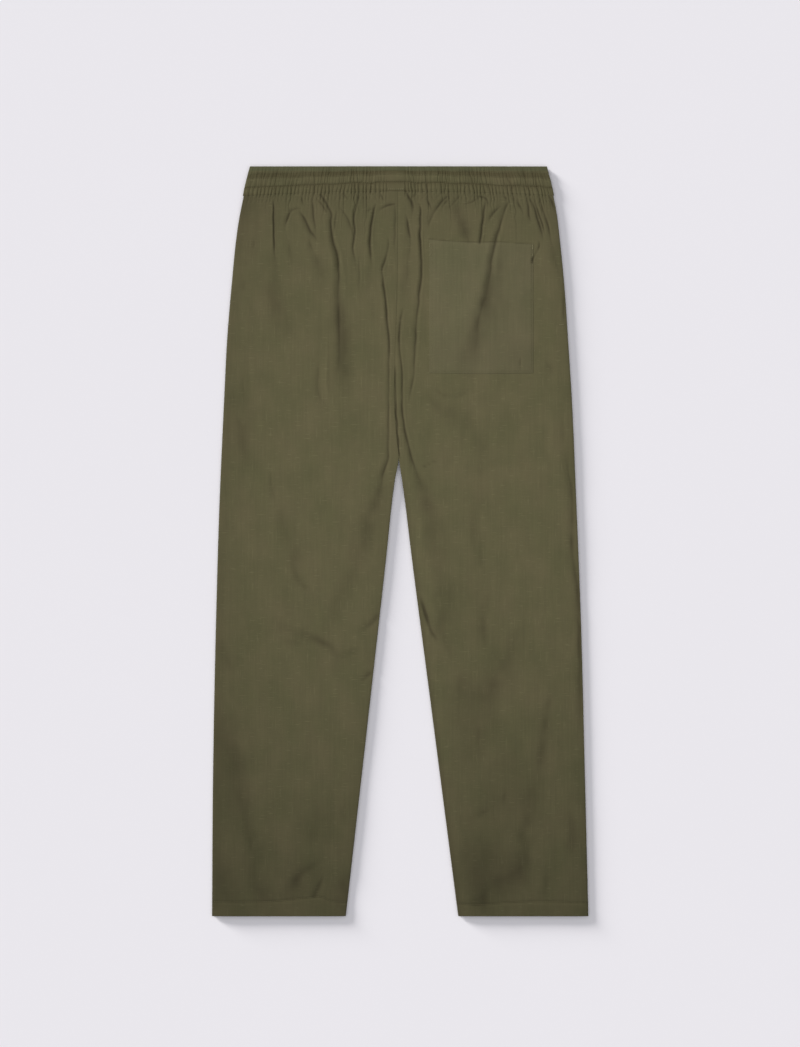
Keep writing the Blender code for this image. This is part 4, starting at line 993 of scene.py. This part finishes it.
thread = {
    "pitch": 2.7, "length": 2.0, "width": 0.42,  # mm
    "rings": ((-0.5, 0.45), (-0.36, 0.9), (0.0, 1.0), (0.36, 0.9), (0.5, 0.45)),  # along, share of the width
    "sides": 6,
    "bow": 0.16,  # mm that a stitch's middle stands above its ends
    "headingStep": 0.5,  # mm ahead and behind that give a stitch its heading
    "bandRows": (0.185, 0.325, 0.637, 0.69),  # rows of the band's profile that are sewn
    "bandReach": 0.985, "bandPoints": 900,
    "rowSteps": 200, "rowSmooth": 15, "heightSmooth": 2,  # points on each side that a mean takes in
    # the pale dots at the centre back: row of the band, mm in from the ends, mm apart, mm long and wide
    "centreRow": 0.915, "centrePoints": 60, "centreInset": 1, "centrePitch": 2.8, "centreSize": (1.5, 0.75),
    "pocketFrom": 108, "pocketTo": 287, "pocketPoints": 240, "footPoints": 200,
    "hemInset": 2.5, "hemPoints": 300,
    "lift": {"band": 0.12, "centre": 0.25, "pocket": 0.05, "hem": 0.12},  # mm above the cloth
}


def alongPath(across, down, height, pitch):
    # middles and headings of the stitches, evenly spaced along a line of points
    line = np.column_stack([across, garment["length"] / 2 - down, height])
    run = np.concatenate([[0.0], np.cumsum(np.linalg.norm(np.diff(line, axis=0), axis=1))])
    at = np.arange(pitch / 2, run[-1], pitch)
    step = thread["headingStep"]
    middle, ahead, behind = (np.column_stack([np.interp(at + off, run, line[:, k]) for k in range(3)])
                             for off in (0, step, -step))
    heading = ahead - behind
    return middle, heading / np.linalg.norm(heading, axis=1)[:, None]


def addStitches(name, runs, length, width, material):
    # one bowed capsule of six sides for each stitch: ring centre + side and up vectors by the ring's radius
    middle, heading = (np.vstack([run[k] for run in runs]) for k in (0, 1))
    sideways = np.cross(heading, (0.0, 0.0, 1.0))
    sideways /= np.linalg.norm(sideways, axis=1)[:, None]
    upward = np.cross(sideways, heading)
    along, radius = np.array(thread["rings"]).T
    turn = 2 * np.pi * np.arange(thread["sides"]) / thread["sides"]
    bow = thread["bow"] * (1 - (2 * along) ** 2)
    centre = (middle[:, None] + heading[:, None] * (along * length)[None, :, None]
              + upward[:, None] * bow[None, :, None])
    ring = (sideways[:, None, None] * np.cos(turn)[None, None, :, None]
            + upward[:, None, None] * np.sin(turn)[None, None, :, None])
    points = centre[:, :, None] + ring * (radius * width / 2)[None, :, None, None]
    rings, sides, count = len(along), thread["sides"], len(middle)
    one = np.arange(rings * sides).reshape(rings, sides)
    nextSide = np.roll(one, -1, axis=1)
    quads = np.stack([one[:-1], one[1:], nextSide[1:], nextSide[:-1]], axis=-1).reshape(-1, 4)
    fan = np.arange(1, sides - 1)
    ends = np.vstack([np.column_stack([0 * fan, fan, fan + 1]),
                      (rings - 1) * sides + np.column_stack([0 * fan, fan + 1, fan])])
    offset = rings * sides * np.arange(count)[:, None, None]
    points = points.reshape(-1, 3) * mm
    quads, ends = (quads + offset).reshape(-1, 4), (ends + offset).reshape(-1, 3)
    return addMesh(name, points, quads, ends, points[:, :2], np.zeros(len(points)), material)


def smoothed(values, reach):
    # mean of each value and its neighbours up to reach on both sides
    count = 2 * reach + 1
    return np.convolve(np.pad(values, reach, mode="edge"), np.ones(count) / count, mode="valid")


def onBack(across, down, half, lift):
    # stitches on a panel: its height plus a lift
    return backSurface(across, down, half)[0] + lift


def bandSewing():
    # four rows, each on the row of the band whose profile row is the sewing's own
    runs = []
    share = np.linspace(-thread["bandReach"], thread["bandReach"], thread["bandPoints"])
    shares, rows = bandPlan(share, thread["rowSteps"])
    profile = bandProfileRow(shares, rows)
    for target in thread["bandRows"]:
        row = smoothed(rows[np.abs(profile - target).argmin(0), 0], thread["rowSmooth"])
        across, down, height, _, _ = bandSurface(share, row)
        height = smoothed(height, thread["heightSmooth"]) + thread["lift"]["band"]
        runs.append(alongPath(across, down, height, thread["pitch"]))
    return runs


def plainSeamSewing():
    # fine dots on the plain stretch at the centre back, along one row of the band
    low, high = gathers["plainLeft"] + thread["centreInset"], gathers["plainRight"] - thread["centreInset"]
    share = np.linspace(low, high, thread["centrePoints"]) / garment["halfWaist"]
    across, down, height, _, _ = bandSurface(share, np.full(thread["centrePoints"], thread["centreRow"]))
    return [alongPath(across, down, height + thread["lift"]["centre"], thread["centrePitch"])]


def pocketSewing():
    # down the left side, along the foot and down the right side, each the inset away from its edge
    left, right = pocket["left"] + pocket["inset"], pocket["right"] - pocket["inset"]
    down = np.linspace(thread["pocketFrom"], thread["pocketTo"], thread["pocketPoints"])
    foot = np.linspace(left, right, thread["footPoints"])
    lines = ((np.full_like(down, left), down), (foot, smoothLine(foot, pocket["foot"]) - pocket["inset"]),
             (np.full_like(down, right), down))
    lift = thread["lift"]["pocket"]
    return [alongPath(*line, pocketSurface(*line)[0] + lift, thread["pitch"]) for line in lines]


def hemSewing(half):
    # one row along the hem's line, from a little inside one edge to a little inside the other
    left, right = panelEdges(np.array([garment["hemStitch"]]), half)
    across = np.linspace(left[0] + thread["hemInset"], right[0] - thread["hemInset"], thread["hemPoints"])
    down = smoothLine(across, panels["hemLine"][half])
    return [alongPath(across, down, onBack(across, down, half, thread["lift"]["hem"]), thread["pitch"])]


tacks = {
    # half, across and down of one end, across and down of the other, rows of stitches, mm above the panel
    "mouthRight": ("right", 185.4, 110.2, 185.4, 116.4, 2, 0.5),
    "mouthRightFoot": ("right", 185.2, 122.4, 185.2, 125.8, 1, 0.5),
    "mouthLeft": ("right", 41.4, 108.4, 41.4, 112.8, 1, 0.5),
    "mouthLeftFoot": ("right", 41.9, 122.0, 41.9, 125.4, 1, 0.5),
    "sideRight": ("right", 222.8, 221.9, 228.4, 221.4, 1, 0.15),
    "sideLeft": ("left", -242.0, 221.9, -238.0, 221.4, 1, 0.15),
}
tackStitch = {"apart": 0.55, "pitch": 1.25, "size": (1.1, 0.45), "points": 12}


def tackSewing():
    # each tack is one or two short rows of stitches side by side
    runs = []
    for half, a0, d0, a1, d1, rows, lift in tacks.values():
        length = np.hypot(a1 - a0, d1 - d0)
        for row in range(rows):
            off = (row - (rows - 1) / 2) * tackStitch["apart"]
            across = np.linspace(a0, a1, tackStitch["points"]) + off * (d1 - d0) / length
            down = np.linspace(d0, d1, tackStitch["points"]) - off * (a1 - a0) / length
            runs.append(alongPath(across, down, onBack(across, down, half, lift), tackStitch["pitch"]))
    return runs


def linear(hexColour):
    # each sRGB channel c is c / 12.92 up to 0.04045, and ((c + 0.055) / 1.055)^2.4 above
    channels = np.array([int(hexColour[k:k + 2], 16) / 255 for k in (1, 3, 5)])
    curved = np.where(channels <= 0.04045, channels / 12.92, ((channels + 0.055) / 1.055) ** 2.4)
    return (*curved, 1.0)


def emptyTree(holder):
    # the node tree of a material or world, with nothing in it yet
    holder.use_nodes = True
    holder.node_tree.nodes.clear()
    return holder.node_tree


def addNode(tree, kind, settings=None, values=None, links=None):
    # one node with its settings, its socket values and the outputs that lead into its sockets
    node = tree.nodes.new("ShaderNode" + kind)
    for name, value in (settings or {}).items():
        setattr(node, name, value)
    for name, value in (values or {}).items():
        node.inputs[name].default_value = value
    for name, source in (links or {}).items():
        tree.links.new(source, node.inputs[name])
    return node


cotton = {
    # shadow is the colour that the painted shade of creases, hollows and edges mixes towards; foldShade is
    # the most of it
    "green": "#5f5d40", "brown": "#635e43", "shadow": "#2f2818", "slub": "#7a7656", "topStrip": "#5b5d42",
    "roughness": 0.88, "ior": 1.5, "sheen": 0.08, "specular": 0.3, "foldShade": 0.62,
    # each pattern: its size along the weft and along the warp in mm, noise detail, and how much it lightens
    # and darkens. Single threads are 0.3 mm apart, too fine to show, so the grain is drawn at 1.9 mm.
    "patterns": {
        "mottle": (46, 60, 2.0, 0.06),
        "cloud": (17, 30, 1.0, 0.05),
        "streak": (2.6, 75, 1.0, 0.055),
        "weft": (22, 1.8, 1.0, 0.028),
        "grain": (1.9, 1.9, 1.0, 0.018),
    },
    "swing": 2.4,  # noise stays near its middle, so its amount is made this much more
    "apart": (3.1, 1.7),  # shifts each pattern from the one before, so that no two agree
    "hueFrom": 0.25, "hueTo": 0.75,
    "stripFrom": 7.5, "stripTo": 5.0,  # mm below the waist's top edge where the pressed top strip sets in
    "slubSize": (13, 1.5), "slubFrom": 0.76, "slubTo": 0.88, "slubAmount": 0.34,
    "warpSlubSize": (1.6, 24), "warpSlubAmount": 0.22,
    "bump": 0.15, "bumpDepth": 0.35,  # strength, and mm
}


def cottonMaterial(name, look):
    # olive cotton plain weave with slubby yarns, washed and pressed: matt, mottled green and brown, with
    # short light and dark dashes along the weft and long soft streaks along the warp
    material = bpy.data.materials.new(name)
    tree = emptyTree(material)
    colours = {key: linear(look[key]) for key in ("green", "brown", "shadow", "slub", "topStrip")}
    mixing = {"data_type": "RGBA"}
    plan = addNode(tree, "UVMap", {"uv_map": "plan"}).outputs["UV"]
    noises = {}
    sizes = {key: row[:3] for key, row in look["patterns"].items()}
    sizes.update(slub=(*look["slubSize"], 0.0), warpSlub=(*look["warpSlubSize"], 0.0))
    for number, (key, (weft, warp, detail)) in enumerate(sizes.items()):
        place = addNode(tree, "Mapping", {}, {
            "Location": (look["apart"][0] * number, look["apart"][1] * number, 0),
            "Scale": (1 / (weft * mm), 1 / (warp * mm), 1)}, {"Vector": plan})
        noise = addNode(tree, "TexNoise", {"noise_dimensions": "2D"}, {
            "Scale": 1.0, "Detail": detail, "Roughness": 0.5}, {"Vector": place.outputs["Vector"]})
        noises[key] = noise.outputs["Fac"]
    hue = addNode(tree, "MapRange", {}, {"From Min": look["hueFrom"], "From Max": look["hueTo"]},
                  {"Value": noises["mottle"]})
    base = addNode(tree, "Mix", mixing, {6: colours["green"], 7: colours["brown"]}, {0: hue.outputs[0]})
    place = addNode(tree, "SeparateXYZ", {}, {}, {0: plan})
    edge = addNode(tree, "MapRange", {"interpolation_type": "SMOOTHSTEP"}, {
        "From Min": (garment["length"] / 2 - look["stripFrom"]) * mm,
        "From Max": (garment["length"] / 2 - look["stripTo"]) * mm}, {"Value": place.outputs["Y"]})
    base = addNode(tree, "Mix", mixing, {7: colours["topStrip"]}, {0: edge.outputs[0], 6: base.outputs[2]})
    swings = {key: row[3] * look["swing"] for key, row in look["patterns"].items()}
    tone = addNode(tree, "Math", {"operation": "ADD"}, {0: 0.0, 1: 1.0 - sum(swings.values()) / 2})
    for key, swing in swings.items():
        tone = addNode(tree, "Math", {"operation": "MULTIPLY_ADD"}, {1: swing}, {
            0: noises[key], 2: tone.outputs[0]})
    woven = addNode(tree, "VectorMath", {"operation": "SCALE"}, {}, {
        0: base.outputs[2], "Scale": tone.outputs[0]}).outputs[0]
    for key in ("slub", "warpSlub"):
        sparse = addNode(tree, "MapRange", {}, {
            "From Min": look["slubFrom"], "From Max": look["slubTo"], "To Max": look[key + "Amount"]},
            {"Value": noises[key]})
        woven = addNode(tree, "Mix", mixing, {7: colours["slub"]}, {
            0: sparse.outputs["Result"], 6: woven}).outputs[2]
    # painted shade: the point attribute darkens the cloth towards the shadow colour in creases, hollows,
    # gather valleys and strips along edges
    paintedFoldShade = addNode(tree, "Attribute", {"attribute_name": "paintedFoldShade"})
    dark = addNode(tree, "Math", {"operation": "MULTIPLY"}, {1: look["foldShade"]}, {0: paintedFoldShade.outputs["Fac"]})
    colour = addNode(tree, "Mix", mixing, {7: colours["shadow"]}, {0: dark.outputs[0], 6: woven})
    relief = addNode(tree, "Math", {"operation": "ADD"}, {}, {0: noises["grain"], 1: noises["weft"]})
    bump = addNode(tree, "Bump", {}, {"Strength": look["bump"], "Distance": look["bumpDepth"] * mm},
                   {"Height": relief.outputs[0]})
    shader = addNode(tree, "BsdfPrincipled", {}, {
        "Roughness": look["roughness"], "IOR": look["ior"], "Sheen Weight": look["sheen"],
        "Specular IOR Level": look["specular"]}, {
        "Base Color": colour.outputs[2], "Normal": bump.outputs["Normal"]})
    addNode(tree, "OutputMaterial", {}, {}, {"Surface": shader.outputs["BSDF"]})
    return material


def twoToneMaterial(name, tones, grain, finish):
    # colour = first tone + noise x (second - first), the noise as large as the grain in mm; finish is the
    # shader's own values
    material = bpy.data.materials.new(name)
    tree = emptyTree(material)
    place = addNode(tree, "TexCoord")
    noise = addNode(tree, "TexNoise", {}, {"Scale": 1 / (grain[0] * mm), "Detail": grain[1]},
                    {"Vector": place.outputs["Object"]})
    colour = addNode(tree, "Mix", {"data_type": "RGBA"}, {6: linear(tones[0]), 7: linear(tones[1])},
                     {0: noise.outputs["Fac"]})
    shader = addNode(tree, "BsdfPrincipled", {}, finish, {"Base Color": colour.outputs[2]})
    addNode(tree, "OutputMaterial", {}, {}, {"Surface": shader.outputs["BSDF"]})
    return material


panelCotton = cottonMaterial("slubCottonPressed", cotton)
# the band's painted shade mixes towards a warmer, browner shadow colour, which browns its sewn channels
bandCotton = cottonMaterial("slubCottonGathered", {**cotton, "shadow": "#33290f", "foldShade": 0.58})
# the pocket's lighter tones are painted light, for the light that its puffed cloth catches; painted shade
# darkens it again towards the right and the foot
pocketCotton = cottonMaterial("slubCottonPatch", {**cotton, "green": "#656347", "brown": "#69644a"})
# spun cotton sewing thread, mercerised: a little paler and smoother than the cloth, in plies 1.1 mm long
ply = {"grain": (10 / 9, 1.0), "finish": {"Roughness": 0.7, "IOR": 1.5}}
tonalThread = twoToneMaterial("mercerisedThreadOlive", ("#6a6748", "#7a7654"), **ply)
paleThread = twoToneMaterial("mercerisedThreadPale", ("#8c8866", "#a29e7a"), **ply)
print("materials made")

made = {}
for half in ("Left", "Right"):
    made["backPanel" + half] = addBackPanel("backPanel" + half, half.lower(), panelCotton)
print("back panels made")
made["patchPocket"] = addPocket("patchPocket", pocketCotton)
made["waistbandBack"] = addBackBand("waistbandBack", bandCotton)
print("pocket and back waistband made")
for half in ("Left", "Right"):
    made["frontPanel" + half] = addFrontPanel("frontPanel" + half, half.lower(), panelCotton)
made["waistbandFront"] = addFrontBand("waistbandFront", bandCotton)
print("front made")

plainSize = (thread["length"], thread["width"])
sewn = {
    "bandStitches": (bandSewing(), plainSize, tonalThread),
    "centreStitches": (plainSeamSewing(), thread["centreSize"], paleThread),
    "pocketStitches": (pocketSewing(), plainSize, tonalThread),
    "hemStitchesLeft": (hemSewing("left"), plainSize, tonalThread),
    "hemStitchesRight": (hemSewing("right"), plainSize, tonalThread),
    "barTacks": (tackSewing(), tackStitch["size"], paleThread),
}
for name, (runs, size, material) in sewn.items():
    made[name] = addStitches(name, runs, *size, material)
print("sewing made:", sum(len(run[0]) for row in sewn.values() for run in row[0]), "stitches")

# node it stands for, slot, cut width and length in m, cut area in square m, held, what it lies on, sewing
sheets = {
    "backPanelLeft": ("back_left", "back_cotton", (0.285, 1.060), 0.236, "laid", ["frontPanelLeft"],
                      ["hemStitchesLeft"]),
    "backPanelRight": ("back_right", "back_cotton", (0.285, 1.060), 0.236, "laid", ["frontPanelRight"],
                       ["hemStitchesRight"]),
    "frontPanelLeft": ("front_left", "front_cotton", (0.280, 1.050), 0.232, "laid", ["studioFloor"], []),
    "frontPanelRight": ("front_right", "front_cotton", (0.280, 1.050), 0.232, "laid", ["studioFloor"], []),
    "patchPocket": ("back_pocket", "pocket_cotton", (0.146, 0.186), None, "laid", ["backPanelRight"],
                    ["pocketStitches", "barTacks"]),
    "waistbandBack": ("waistband_back", "waistband_cotton", (0.430, 0.038), None, "gathered",
                      ["waistbandFront"], ["bandStitches", "centreStitches"]),
    "waistbandFront": ("waistband_front", "waistband_cotton", (0.428, 0.038), None, "gathered",
                       ["studioFloor"], []),
}

studio = {
    "floor": ("#ecedf5", "#ebecf4"), "floorGrain": (1000 / 3, 2.0),  # its unevenness is 333 mm wide
    "floorFinish": {"Roughness": 0.95, "Specular IOR Level": 0.1},
    "floorSize": 12.0,
    "sky": "#f8f9ff", "skyStrength": 0.26, "pastFloor": "#ebeaef",
    "colour": "#fffaf4",
    # lamps: kind, place that it shines from, strength, spread in degrees or size in m, what it lights.
    # The floor has its own lamps, so that it stays as even as the photograph's while the cloth gets darker
    # towards the hems.
    "lamps": {
        "floorSun": ("SUN", (-0.80, 0.62, 0.17), 7.3, 13, "floor"),
        "floorFill": ("SUN", (0.0, 0.0, 1.0), 1.10, 120, "floor"),
        "clothSun": ("SUN", (-0.86, 0.50, 0.48), 1.78, 26, "cloth"),
        "clothDish": ("SPOT", (0.02, 0.2, 2.6), 105.4, 0.25, "cloth"),
    },
    "dishSpread": 36.9,  # degrees, which lights 0.88 m round the middle of the hips
    "aim": (0.0, 0.2, 0.0),
}


def addStudio(pieces):
    # a floor at Z = 0, an even sky, and lamps that each point from their place at the aim
    half = studio["floorSize"] / 2
    mesh = bpy.data.meshes.new("studioFloor")
    corners = [(x * half, y * half, 0) for x, y in ((-1, -1), (1, -1), (1, 1), (-1, 1))]
    mesh.from_pydata(corners, [], [(0, 1, 2, 3)])
    # matt painted board: pale, even, barely grained
    mesh.materials.append(twoToneMaterial("paintedBoardPale", studio["floor"], studio["floorGrain"],
                                          studio["floorFinish"]))
    floor = addObject("studioFloor", mesh)

    world = bpy.data.worlds.new("studioWorld")
    bpy.context.scene.world = world
    tree = emptyTree(world)
    path = addNode(tree, "LightPath")
    sky = addNode(tree, "Background", {}, {
        "Color": linear(studio["sky"]), "Strength": studio["skyStrength"]})
    seen = addNode(tree, "Background", {}, {"Color": linear(studio["pastFloor"]), "Strength": 1.0})
    mixed = addNode(tree, "MixShader", {}, {}, {
        0: path.outputs["Is Camera Ray"], 1: sky.outputs[0], 2: seen.outputs[0]})
    addNode(tree, "OutputWorld", {}, {}, {"Surface": mixed.outputs[0]})

    lit = {name: bpy.data.collections.new(name + "Light") for name in ("floor", "cloth")}
    lit["floor"].objects.link(floor)
    for piece in pieces:
        lit["cloth"].objects.link(piece)
    for name, (kind, place, strength, size, receiver) in studio["lamps"].items():
        data = bpy.data.lights.new(name, kind)
        data.energy, data.color = strength, linear(studio["colour"])[:3]
        aim = Vector(studio["aim"])
        if kind == "SUN":
            data.angle, aim = np.radians(size), Vector((0, 0, 0))
        else:
            data.shadow_soft_size, data.spot_blend = size, 1.0
            data.spot_size = np.radians(studio["dishSpread"])
        lamp = addObject(name, data)
        lamp.location = place
        lamp.rotation_euler = (Vector(place) - aim).to_track_quat("Z", "Y").to_euler()
        lamp.light_linking.receiver_collection = lit[receiver]
    bpy.context.scene.view_settings.view_transform = "Standard"


addStudio(made.values())
print("studio lit")

for name, (node, slot, flat, area, held, restsOn, sewing) in sheets.items():
    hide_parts(node)
for name, piece in made.items():
    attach(piece, "root")
